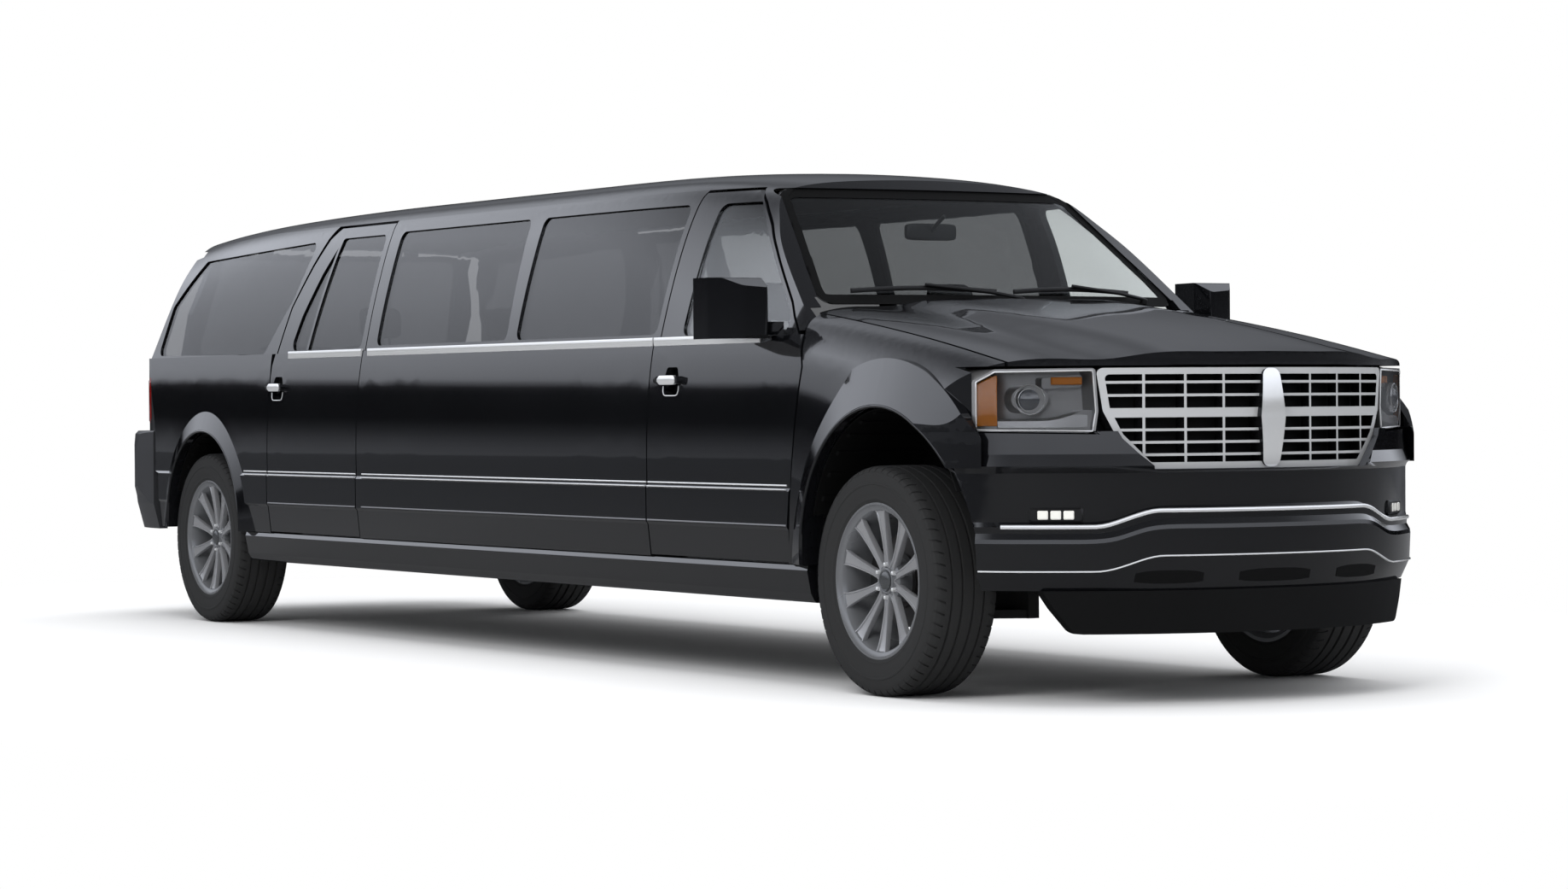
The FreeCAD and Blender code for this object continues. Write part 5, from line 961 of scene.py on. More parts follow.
@dataclass
class FrontBrightwork:
    """The bumper's bright sweep, a chrome strip that paints the highlight on its crease, its fog lamps, and a
    dark sheet of painted shade behind the grille bars.

    Attributes:
        sweep: the bright strip's height in the middle and at the sides.
        crease: the height in the middle and at the sides of the lower line, a chrome strip that paints the
            crease's highlight.
        fog_y: the fog lamps' half widths.
        fog_z: the fog lamps' low and high edges.
    """

    sweep: tuple[float, float] = (0.661, 0.607)
    crease: tuple[float, float] = (0.509, 0.457)
    fog_y: tuple[float, float] = (0.655, 0.800)
    fog_z: tuple[float, float] = (0.622, 0.672)

    def build(self) -> None:
        """Builds the pieces on the bumper and grille."""
        skin = Skin(("front_bumper",))
        self._line("bumper_sweep", skin, self.sweep, 0.880, 0.015, 0.014, CHROME)
        # The crease line is a chrome strip that paints the highlight on the bumper's lower crease.
        self._line("bumper_crease_line", skin, self.crease, 0.930, 0.0055, 0.010, CHROME)
        for side in Side:
            self._fog_lamp(skin, side)
        self._grille_backing()
        self._intake(skin)
        LOG.info("front brightwork: sweep, crease line, fog lamps and grille backing")

    def _line(self, name: str, skin: Skin, heights: tuple[float, float], reach: float, height: float,
              depth: float, finish: Look) -> None:
        """A bright line across the bumper that follows its sweep."""
        line = []
        for k in range(93):
            y = -reach + 2 * reach * k / 92
            z = swept(*heights, y)
            hit = skin.front(y, z)
            if hit is not None:
                line.append((hit.x + 0.001, y, z))
        strip = REPEATS.moulding(line, height, depth, height * 0.38, finish)
        place(name, strip.mesh(name), finish, "chassis", 34.0)

    def _fog_lamp(self, skin: Skin, side: Side) -> None:
        """A dark pod with three bright cells."""
        low, high = self.fog_z
        middle = sum(self.fog_y) / 2
        face = skin.front(side.value * middle, (low + high) / 2)
        inner = skin.front(side.value * self.fog_y[0], (low + high) / 2)
        outer = skin.front(side.value * self.fog_y[1], (low + high) / 2)
        along = (outer - inner).normalized()
        ahead = Vector((abs(along.y), side.value * abs(along.x), 0)).normalized()
        matrix = Matrix((ahead, along, Vector((0, 0, 1)))).transposed().to_4x4()
        matrix.translation = Vector((face.x, face.y, (low + high) / 2))
        half, tall = (outer - inner).length / 2, (high - low) / 2
        pod = Shape().block((-0.010, -half, -tall), (0.008, half, tall), 0.006)
        place(f"fog_pod_{side.word}", pod.moved(matrix).mesh("pod"), BLACK_TRIM, "chassis", 30.0)
        cell = Shape().block((0.006, -0.018, -0.015), (0.0125, 0.018, 0.015), 0.004)
        cells = REPEATS.row(cell.moved(Matrix.Translation((0, -0.044, 0))), 3, (0, 0.044, 0), LAMP_CELL)
        place(f"fog_cells_{side.word}", cells.moved(matrix).mesh("cells"), LAMP_CELL, "chassis", 30.0)

    def _grille_backing(self) -> None:
        """A plain dark sheet close behind the grille's bars: painted shade in the gaps between them."""
        rings = []
        for k in range(41):
            y = -0.598 + 1.196 * k / 40
            back = fx(nose_x(y)) - 0.052
            foot = 0.808 + max(0.0, (abs(y) - 0.44) / 0.15) * 0.19
            rings.append([(back, y, min(foot, 1.0)), (back, y, 1.136), (back - 0.006, y, 1.136),
                          (back - 0.006, y, min(foot, 1.0))])
        sheet = Shape().loft(rings)
        # The sheet's deep black is painted shade behind the bars.
        place("grille_backing", sheet.mesh("grille_backing"), DEEP_BLACK, "chassis", 40.0)

    def _intake(self, skin: Skin) -> None:
        """Three dark plates in the bumper's lower band: painted shade that stands for the inside of the
        intake openings.
        """
        for k, (y, half) in enumerate(((-0.40, 0.115), (0.0, 0.150), (0.40, 0.115))):
            rings = []
            for step in range(9):
                at = y - half + 2 * half * step / 8
                squeeze = 1.0 - 0.35 * (abs(step - 4) / 4) ** 3
                low, high = 0.432 - 0.018 * squeeze, 0.432 + 0.026 * squeeze
                points = [skin.front(at, z) for z in (low, high)]
                if any(p is None for p in points):
                    continue
                rings.append([(points[0].x + 0.0015, at, low), (points[1].x + 0.0015, at, high),
                              (points[1].x - 0.012, at, high), (points[0].x - 0.012, at, low)])
            if len(rings) > 2:
                # A deep black plate of painted shade in place of the opening's depth.
                opening = Shape().loft(rings)
                place(f"bumper_opening_{k}", opening.mesh("opening"), DEEP_BLACK, "chassis", 30.0)


@dataclass
class Headlamp:
    """What fills a headlamp: amber outer block, ringed projector, turn lamp, bezel line and clear cover.

    Attributes:
        outline: the cover's outline as (half width, height), from its inner lower corner round.
        projector: the projector's half width and height.
        ring: the projector ring's radius.
        face: the angle in degrees that the projector is turned outwards by.
    """

    outline: tuple[tuple[float, float], ...] = (
        (0.6215, 0.9290), (0.6115, 0.9960), (0.6200, 1.1340), (0.8780, 1.1310), (0.9190, 1.0970),
        (0.9190, 0.9350))
    projector: tuple[float, float] = (0.785, 1.036)
    ring: float = 0.050
    face: float = 36.0

    def build(self) -> None:
        """Builds both lamps."""
        pieces = (("lamp_amber", self._amber(), AMBER, 30.0), ("lamp_ring", self._ring(), CHROME, 30.0),
                  ("lamp_globe", self._globe(), LAMP_GLOBE, 60.0), ("lamp_turn", self._turn(), AMBER, 30.0),
                  ("lamp_bezel", self._bezel(), CHROME, 30.0), ("lamp_cover", self._cover(), LAMP_LENS, 50.0),
                  ("lamp_ledge", self._ledge(), LAMP_SILVER, 30.0))
        for name, shape, finish, sharp in pieces:
            for side in Side:
                place(f"{name}_{side.word}", on_side(shape, side).mesh(name), finish, "chassis", sharp)
        LOG.info("headlamps: %d pieces a lamp", len(pieces))

    def _at(self, y: float, z: float, deep: float) -> Point:
        """A point of the right lamp at a depth behind the nose's outline."""
        return (fx(nose_x(y)) - deep, -y, z)

    def _patch(self, y0: float, y1: float, low: float, high: float, front: float, back: float,
               cut: float = 0.0, steps: int = 8) -> Shape:
        """A block that follows the nose between two half widths, with its outer top corner cut off."""
        rings = []
        for k in range(steps + 1):
            y = y0 + (y1 - y0) * k / steps
            top = high - cut * max(0.0, (y - y0) / (y1 - y0) - 0.1)
            r = 0.003
            rings.append([self._at(y, low, front + r), self._at(y, low + r, front),
                          self._at(y, top - r, front), self._at(y, top, front + r), self._at(y, top, back),
                          self._at(y, low, back)])
        return Shape().loft(rings)

    def _amber(self) -> Shape:
        """The amber block at the lamp's outer end."""
        return self._patch(0.868, 0.914, 0.948, 1.118, 0.012, 0.040, 0.034)

    def _turn(self) -> Shape:
        """The small amber lamp at the inner top."""
        return self._patch(0.640, 0.722, 1.086, 1.112, 0.024, 0.034)

    def _ledge(self) -> Shape:
        """The silver ledge that sweeps along the foot of the lamp."""
        rings = []
        for k in range(25):
            y = 0.630 + 0.236 * k / 24
            lift = 0.972 + 0.022 * math.exp(-((y - 0.655) / 0.05) ** 2)
            rings.append([self._at(y, 0.942, 0.013), self._at(y, lift - 0.008, 0.016),
                          self._at(y, lift, 0.030), self._at(y, lift, 0.046), self._at(y, 0.942, 0.046)])
        return Shape().loft(rings)

    def _aim(self) -> Matrix:
        """The projector's place: its own Y axis looks out of the lamp."""
        y, z = self.projector
        return (Matrix.Translation(self._at(y, z, 0.016)) @ Matrix.Rotation(math.radians(-self.face), 4, "Z")
                @ Matrix.Rotation(math.radians(90), 4, "Z"))

    def _ring(self) -> Shape:
        """The bright ring round the projector and a finer one inside it."""
        r = self.ring
        outer = [(r - 0.0035, 0.010), (r - 0.003, -0.003), (r, -0.006), (r + 0.003, -0.003),
                 (r + 0.0035, 0.012)]
        inner = [(r - 0.013, 0.004), (r - 0.012, -0.001), (r - 0.010, 0.0), (r - 0.008, 0.006)]
        return Shape().spin(outer, 64).spin(inner, 64).moved(self._aim())

    def _globe(self) -> Shape:
        """The projector's dark glass dome."""
        r = self.ring - 0.010
        dome = [(r * math.sin(math.radians(a)), 0.010 - 0.022 * math.cos(math.radians(a)))
                for a in range(0, 91, 10)]
        return Shape().spin([(0.0, 0.012)] + dome + [(r, 0.012)], 48).moved(self._aim())

    def _bezel(self) -> Shape:
        """A fine bright line round the cover."""
        points = self.outline
        line: list[Point] = []
        for k, (y, z) in enumerate(points):
            ny, nz = points[(k + 1) % len(points)]
            line += [self._at(y + (ny - y) * t / 6, z + (nz - z) * t / 6, 0.001) for t in range(6)]
        path = [Vector(p) for p in line]
        rings = []
        for k, here in enumerate(path):
            along = (path[(k + 1) % len(path)] - path[k - 1]).normalized()
            ahead = Vector((1, 0, 0))
            across = along.cross(ahead).normalized()
            rings.append([here + 0.0028 * (math.cos(a) * across + math.sin(a) * across.cross(along))
                          for a in (math.radians(45 * i) for i in range(8))])
        return Shape().loft(rings, True)

    def _cover(self) -> Shape:
        """The clear cover: a thin shell on the nose's outline."""
        rings = []
        for k in range(27):
            y = 0.6145 + 0.3035 * k / 26
            low = 0.933
            high = 1.130 if y < 0.878 else 1.130 - (y - 0.878) * 0.80
            rings.append([self._at(y, low, 0.0015), self._at(y, (low + high) / 2, 0.0),
                          self._at(y, high, 0.0015), self._at(y, high, 0.0045),
                          self._at(y, (low + high) / 2, 0.003), self._at(y, low, 0.0045)])
        return Shape().loft(rings)


# Fittings outside

@dataclass
class DoorFittings:
    """What sits on the doors outside: bright pull bars, cup outlines and the mirrors' glass.

    Attributes:
        pulls: each pull's door body and station.
        bar_z: the bar's low and high edges.
        half: half the bar's length.
        face: the bar's distance from the vehicle's middle.
        glass: the mirror glass as (station, inner and outer half width, low and high edge).
    """

    pulls: tuple[tuple[str, float], ...] = (("front_door", FRONT_X - 1.440), ("rear_door", REAR_X + 0.881))
    bar_z: tuple[float, float] = (1.1055, 1.1405)
    half: float = 0.068
    face: float = 1.0125
    glass: tuple[float, float, float, float, float] = (FRONT_X - 0.894, 1.028, 1.170, 1.297, 1.465)

    def build(self) -> None:
        """Builds the fittings of both sides."""
        for side in Side:
            for door, x in self.pulls:
                body, node = f"{door}_{side.word}", f"door_{door.split('_')[0]}_right"
                for name, shape, finish in (("pull", self._bar(node, x), CHROME),
                                            ("cup_line", self._cup_line(node, x), CHROME),
                                            ("lock", self._lock(x), BLACK_TRIM)):
                    place(f"{name}_{body}", on_side(shape, side).mesh(name), finish, body, 40.0)
            mirror = on_side(self._mirror_glass(), side)
            place(f"mirror_glass_{side.word}", mirror.mesh("mirror_glass"), MIRROR,
                  f"front_door_{side.word}", 40.0)
        LOG.info("door fittings: pulls, cups, locks and mirror glass")

    def _bar(self, door: str, x: float) -> Shape:
        """A bowed bar with rounded ends that sleeves the door's pull."""
        skin, (low, high) = Skin((door,)), self.bar_z
        rings = []
        for k in range(21):
            t = -1 + k / 10
            swell = max((1 - abs(t) ** 12) ** 0.5 if abs(t) < 1 else 0.0, 0.45)
            hit = skin.side(x + 0.96 * t * self.half, (low + high) / 2)
            y = hit.y - 0.0022 if hit is not None else -self.face
            half, z = (high - low) / 2 * swell, (low + high) / 2
            at = x + t * self.half
            rings.append([(at, y + 0.012, z - half), (at, y + 0.003, z - half), (at, y, z - half * 0.7),
                          (at, y - 0.0012, z), (at, y, z + half * 0.7), (at, y + 0.003, z + half),
                          (at, y + 0.012, z + half)])
        return Shape().loft(rings)

    def _cup_line(self, door: str, x: float) -> Shape:
        """A fine bright rim round the cup's lower half, on the door's skin."""
        skin, line = Skin((door,)), []
        for dx, z in ((-0.060, 1.100), (-0.060, 1.082), (-0.052, 1.068), (-0.040, 1.064), (0.0, 1.0635),
                      (0.040, 1.064), (0.052, 1.068), (0.060, 1.082), (0.060, 1.100)):
            hit = skin.side(x + dx, z)
            if hit is not None:
                line.append((x + dx, hit.y, z))
        return Shape().rod(line, 0.0022, 8)

    def _lock(self, x: float) -> Shape:
        """A small round lock cover behind the cup."""
        dome = [(0.0, -0.0040), (0.006, -0.0036), (0.010, -0.0020), (0.011, 0.004), (0.0, 0.004)]
        return Shape().spin(dome, 24).moved(Matrix.Translation((x - 0.125, -0.9905, 1.123)))

    def _mirror_glass(self) -> Shape:
        """The mirror's slightly domed glass, facing rearwards."""
        x, y0, y1, low, high = self.glass
        rings = []
        for k in range(13):
            y = y0 + (y1 - y0) * k / 12
            swell = 1 - (abs(k - 6) / 6) ** 2
            cut = 0.010 * (abs(k - 6) / 6) ** 6
            rings.append([(x + 0.004, -y, low + cut), (x, -y, low + cut),
                          (x - 0.0025 * swell, -y, (low + high) / 2), (x, -y, high - cut),
                          (x + 0.004, -y, high - cut)])
        return Shape().loft(rings)


@dataclass
class Wipers:
    """Two windscreen wipers at rest along the foot of the glass.

    Attributes:
        blades: each blade as (inner end, outer end, pivot) across the vehicle.
        foot: the blade's height on the glass.
    """

    blades: tuple[tuple[float, float, float], ...] = ((-0.66, -0.06, 0.03), (0.02, 0.58, 0.64))
    foot: float = 1.436

    def build(self) -> None:
        """Builds both wipers and the screen's black borders."""
        glass = Skin(("windshield",))
        for k, (start, end, pivot) in enumerate(self.blades):
            line = []
            for i in range(17):
                y = start + (end - start) * i / 16
                hit = glass.front(y, self.foot + 0.012 * math.sin(math.pi * i / 16))
                if hit is not None:
                    line.append((hit.x + 0.010, y, hit.z + 0.008))
            blade = REPEATS.moulding(line, 0.018, 0.010, 0.003, BLACK_TRIM)
            middle = Vector(line[len(line) // 2]) + Vector((0.012, 0, 0.012))
            foot = glass.front(pivot, 1.404)
            base = foot + Vector((0.004, 0, 0.002))
            knee = base.lerp(middle, 0.35) + Vector((0.006, 0, 0.014))
            blade.rod([base, base + Vector((0.004, 0, 0.014)), knee, middle], 0.0070, 10)
            blade.add(Shape().spin([(0.0, -0.004), (0.012, -0.004), (0.014, 0.012), (0.009, 0.017),
                                    (0.0, 0.017)], 24)
                      .moved(Matrix.Translation(base) @ Matrix.Rotation(math.radians(90), 4, "X")))
            place(f"wiper_{k}", blade.mesh("wiper"), BLACK_TRIM, "chassis", 40.0)
        self._borders(glass)
        LOG.info("wipers: %d, and the screen's black borders", len(self.blades))

    def _borders(self, glass: Skin) -> None:
        """The screen's black printed borders at its foot, its head and its sides."""
        borders, width, out = Shape(), 0.036, Vector((0.0015, 0, 0.0011))

        def strip(edges: list[tuple[Vector | None, Vector | None]]) -> None:
            """Adds a thin closed strip between pairs of points on the glass."""
            rings = [[a + out, b + out, b - out, a - out] for a, b in edges
                     if a is not None and b is not None]
            if len(rings) > 2:
                borders.loft(rings)

        levels = [1.360 + 0.003 * k for k in range(170)]
        for first, way in ((levels, 1), (levels[::-1], -1)):
            edges = []
            for k in range(61):
                y = -0.82 + 1.64 * k / 60
                z = next((z for z in first if glass.front(y, z) is not None), None)
                if z is not None:
                    edges.append((glass.front(y, z), glass.front(y, z + way * width)))
            strip(edges)
        for side in (-1, 1):
            edges = []
            for k in range(31):
                z = 1.380 + 0.470 * k / 30
                y = next((0.86 - 0.003 * i for i in range(120)
                          if glass.front(side * (0.86 - 0.003 * i), z) is not None),
                         None)
                if y is not None:
                    edges.append((glass.front(side * y, z), glass.front(side * (y - width), z)))
            strip(edges)
        place("screen_borders", borders.mesh("screen_borders"), DEEP_BLACK, "chassis", 60.0)


@dataclass
class ArchLiners:
    """Dark liners over the wheels.

    Attributes:
        arches: each as (name, station, height, radius, inner half width).
    """

    arches: tuple[tuple[str, float, float, float, float], ...] = (
        ("front", FRONT_X + 0.070, 0.508, 0.504, 0.560), ("rear", REAR_X + 0.030, 0.477, 0.436, 0.668))

    def build(self) -> None:
        """Builds a ribbed shell over each wheel."""
        for name, x, z, radius, inner in self.arches:
            profile = [(radius, -0.975), (radius, -inner), (radius - 0.004, -inner), (radius - 0.004, -0.975)]
            start, sweep = (-76.0, 140.0) if name == "front" else (-70.0, 138.0)
            shell = Shape().spin(profile, 48, start, sweep)
            rib = Shape().spin([(radius - 0.003, -0.955), (radius - 0.003, -inner - 0.02),
                                (radius - 0.009, -inner - 0.03), (radius - 0.009, -0.945)], 2, start + 6, 2.2)
            shell.add(REPEATS.ring(rib, 12, DEEP_BLACK, 11.2))
            shell = shell.moved(Matrix.Translation((x, 0, z)))
            for side in Side:
                made = on_side(shell, side)
                place(f"arch_liner_{name}_{side.word}", made.mesh("liner"), DEEP_BLACK, "chassis", 30.0)
        LOG.info("arch liners: %d", 2 * len(self.arches))


@dataclass
class TailEnd:
    """What sits on the tail: lamp ribs and wraps, brake lamp, wiper, pull recess and bright strip.

    Attributes:
        gate_parts: each piece on the liftgate, as (name, right and left edge, low and high edge).
    """

    gate_parts: tuple[tuple[str, float, float, float, float], ...] = (
        ("gate_strip", -0.46, 0.46, 1.178, 1.200), ("gate_recess", -0.300, 0.300, 0.985, 1.150),
        ("brake_lamp", -0.210, 0.210, 1.778, 1.792))

    def build(self) -> None:
        """Builds the tail's pieces."""
        skin = Skin(("liftgate", "roof_panel"))
        finishes = {"gate_strip": (CHROME, 0.008), "gate_recess": (BLACK_TRIM, 0.003),
                    "brake_lamp": (RED_LENS, 0.006)}
        for name, y0, y1, low, high in self.gate_parts:
            finish, proud = finishes[name]
            panel = self._panel(skin, y0, y1, low, high, proud)
            if panel is not None:
                place(name, panel.mesh(name), finish, "liftgate", 30.0)
        self._wiper()
        for side in Side:
            ribs = self._lamp_ribs(side)
            place(f"tail_lamp_ribs_{side.word}", ribs.mesh("ribs"), RED_DEEP, "chassis", 30.0)
            wrap = on_side(self._lamp_wrap(), side)
            place(f"tail_lamp_wrap_{side.word}", wrap.mesh("wrap"), RED_LENS, "chassis", 40.0)
        LOG.info("tail end: gate fittings and lamp ribs")

    def _panel(self, skin: Skin, y0: float, y1: float, low: float, high: float, proud: float) -> Shape | None:
        """A panel that follows the tail between two heights, standing proud of it."""
        rings = []
        for k in range(21):
            y = y0 + (y1 - y0) * k / 20
            foot, head = skin.back(y, low), skin.back(y, high)
            if foot is None or head is None or abs(foot.x - head.x) > 0.08:
                continue
            r = min(0.003, proud / 2)
            rings.append([(foot.x + 0.004, y, low), (foot.x - proud + r, y, low),
                          (foot.x - proud, y, low + r), (head.x - proud, y, high - r),
                          (head.x - proud + r, y, high), (head.x + 0.004, y, high)])
        return Shape().loft(rings) if len(rings) > 2 else None

    def _wiper(self) -> None:
        """The rear wiper at rest along the foot of the tail glass."""
        skin = Skin(("liftgate", "liftgate_glass"))
        line = []
        for k in range(13):
            y = -0.33 + 0.40 * k / 12
            hit = skin.back(y, 1.335)
            if hit is not None:
                line.append((hit.x - 0.012, y, 1.335))
        if len(line) < 3:
            return
        blade = REPEATS.moulding(line, 0.016, 0.010, 0.003, BLACK_TRIM)
        base = skin.back(0.12, 1.27)
        blade.rod([(base.x + 0.002, 0.12, 1.27), (base.x - 0.020, 0.12, 1.272),
                   (line[len(line) // 2][0] - 0.012, line[len(line) // 2][1], 1.338)], 0.007, 10)
        place("rear_wiper", blade.mesh("rear_wiper"), BLACK_TRIM, "liftgate", 40.0)

    def _lamp_wrap(self) -> Shape:
        """The lens carried round the corner on to the body's side."""
        skin = Skin(("quarter_panels", "tail_lamps"))
        rings = []
        for k in range(17):
            x = REAR_X - 0.860 + 0.150 * k / 16
            tuck = 0.010 * max(0.0, (k - 13) / 3) ** 2
            low, high = skin.side(x, 0.966 + tuck, shy=0.7), skin.side(x, 1.171 - tuck, shy=0.7)
            middle = skin.side(x, 1.068, shy=0.7)
            if low is None or high is None or middle is None:
                continue
            out, deep = Vector((0, -0.0035, 0)), Vector((0, 0.004, 0))
            rings.append([low + deep, low + out * 0.4, low + out + Vector((0, 0, 0.004)), middle + out,
                          high + out - Vector((0, 0, 0.004)), high + out * 0.4, high + deep])
        return Shape().loft(rings)

    def _lamp_ribs(self, side: Side) -> Shape:
        """Fine level ribs on a tail lamp's face."""
        skin = Skin(("tail_lamps",))
        ribs = Shape()
        for k in range(9):
            z = 0.985 + 0.0215 * k
            line = []
            for i in range(15):
                y = side.value * (0.800 + 0.195 * i / 14)
                hit = skin.back(y, z)
                if hit is not None:
                    line.append((hit.x - 0.0005, y, z))
            if len(line) > 2:
                ribs.add(REPEATS.moulding(line, 0.005, 0.006, 0.0015, RED_DEEP))
        return ribs


# Cabin

CABIN_FLOOR = 0.5253


def superbox(low: Point, high: Point, power: float = 5.0, around: int = 40, rise: int = 16) -> Shape:
    """A closed box-like body with full, rounded edges.

    Args:
        low: its lowest corner.
        high: its highest corner.
        power: how square it is.
        around: its points round each ring.
        rise: its rings.

    Returns:
        The body.
    """
    middle = (Vector(low) + Vector(high)) / 2
    half = (Vector(high) - Vector(low)) / 2
    rings = []
    for k in range(rise + 1):
        t = -math.pi / 2 + math.pi * k / rise
        flat = max(abs(math.cos(t)) ** (2 / power), 0.02)
        tall = math.copysign(abs(math.sin(t)) ** (2 / power), math.sin(t))
        ring = []
        for i in range(around):
            a = 2 * math.pi * i / around
            c = math.copysign(abs(math.cos(a)) ** (2 / power), math.cos(a))
            s = math.copysign(abs(math.sin(a)) ** (2 / power), math.sin(a))
            ring.append((middle.x + half.x * flat * c, middle.y + half.y * flat * s,
                         middle.z + half.z * tall))
        rings.append(ring)
    return Shape().loft(rings)


CLOTH_FRAMES = 20
CUSHION_SHY = 0.010
SEAM_WIDTH, SEAM_DEPTH = 0.010, 0.012
FILLED: dict[tuple, bpy.types.Mesh] = {}


@dataclass
class Padding:
    """A soft cushion: a crowned form filled by a short cloth run, with its seams sunk in after it.

    Attributes:
        name: the piece's name.
        body: the body that it rides on.
        low: its lowest corner in its own axes.
        high: its highest corner in its own axes.
        where: where it goes.
        across: sunk seams across it, as offsets along its own X from its middle.
        along: sunk seams along it, as offsets along its own Y from its middle.
        voxel: the grain of its form.
        fill: how full it is; not used.
        travel: the most that the run may move it, sideways and through its thickness.
    """

    name: str
    low: Point
    high: Point
    where: Matrix
    across: tuple[float, ...] = ()
    along: tuple[float, ...] = ()
    body: str = "chassis"
    voxel: float = 0.014
    fill: float = 0.9
    travel: tuple[float, float] = (0.009, 0.022)

    def build(self) -> bpy.types.Object:
        """Builds the cushion, or moves a copy of one that is alike, and returns it."""
        key = (self.low, self.high, self.across, self.along)
        if key not in FILLED:
            FILLED[key] = self._filled()
        mesh = FILLED[key].copy()
        mesh.transform(self.where)
        piece = place(self.name, mesh, LEATHER, self.body, 180.0)
        return piece

    def _filled(self) -> bpy.types.Mesh:
        """Makes the form, runs the cloth on it, subdivides it and sinks its seams."""
        shy = Vector((CUSHION_SHY, CUSHION_SHY, CUSHION_SHY))
        low, high = Vector(self.low) + shy, Vector(self.high) - shy
        piece = bpy.data.objects.new("form", superbox(low, high).mesh("form"))
        bpy.context.scene.collection.objects.link(piece)
        grain = piece.modifiers.new("grain", "REMESH")
        grain.mode, grain.voxel_size = "VOXEL", self.voxel
        piece.data = baked(piece)
        piece.modifiers.clear()
        self._run(piece)
        finer = piece.modifiers.new("finer", "SUBSURF")
        finer.levels = finer.render_levels = 1
        mesh = baked(piece)
        piece.modifiers.clear()
        bpy.data.objects.remove(piece)
        self._sink_seams(mesh, low, high)
        return mesh

    def _run(self, piece: bpy.types.Object) -> None:
        """Fills the cushion frame by frame and keeps the outcome within its travel."""
        start = [v.co.copy() for v in piece.data.vertices]
        cloth = piece.modifiers.new("filling", "CLOTH")
        settings = cloth.settings
        settings.quality, settings.mass = 4, 0.4
        settings.use_pressure, settings.uniform_pressure_force = True, 4.0
        settings.effector_weights.gravity = 0.0
        cloth.point_cache.frame_start, cloth.point_cache.frame_end = 1, CLOTH_FRAMES
        scene = bpy.context.scene
        for number in range(1, CLOTH_FRAMES + 1):
            scene.frame_set(number)
        full = baked(piece)
        piece.modifiers.clear()
        scene.frame_set(1)
        side, thick = self.travel
        for here, new, first in zip(piece.data.vertices, full.vertices, start):
            step = new.co - first
            here.co = first + Vector((max(-side, min(side, step.x)), max(-side, min(side, step.y)),
                                      max(-thick, min(thick, step.z))))

    def _sink_seams(self, mesh: bpy.types.Mesh, low: Vector, high: Vector) -> None:
        """Draws the surface in along the seams, most where the cushion faces up."""
        middle = (low + high) / 2
        for vertex in mesh.vertices:
            dip = 0.0
            for offset in self.across:
                dip = max(dip, math.exp(-((vertex.co.x - middle.x - offset) / SEAM_WIDTH) ** 2))
            for offset in self.along:
                dip = max(dip, math.exp(-((vertex.co.y - middle.y - offset) / SEAM_WIDTH) ** 2))
            if vertex.co.z > middle.z:
                vertex.co.z -= SEAM_DEPTH * dip


def tilt(origin: Point, angle: float) -> Matrix:
    """A placement that pitches back by an angle in degrees about Y."""
    return Matrix.Translation(origin) @ Matrix.Rotation(math.radians(angle), 4, "Y")


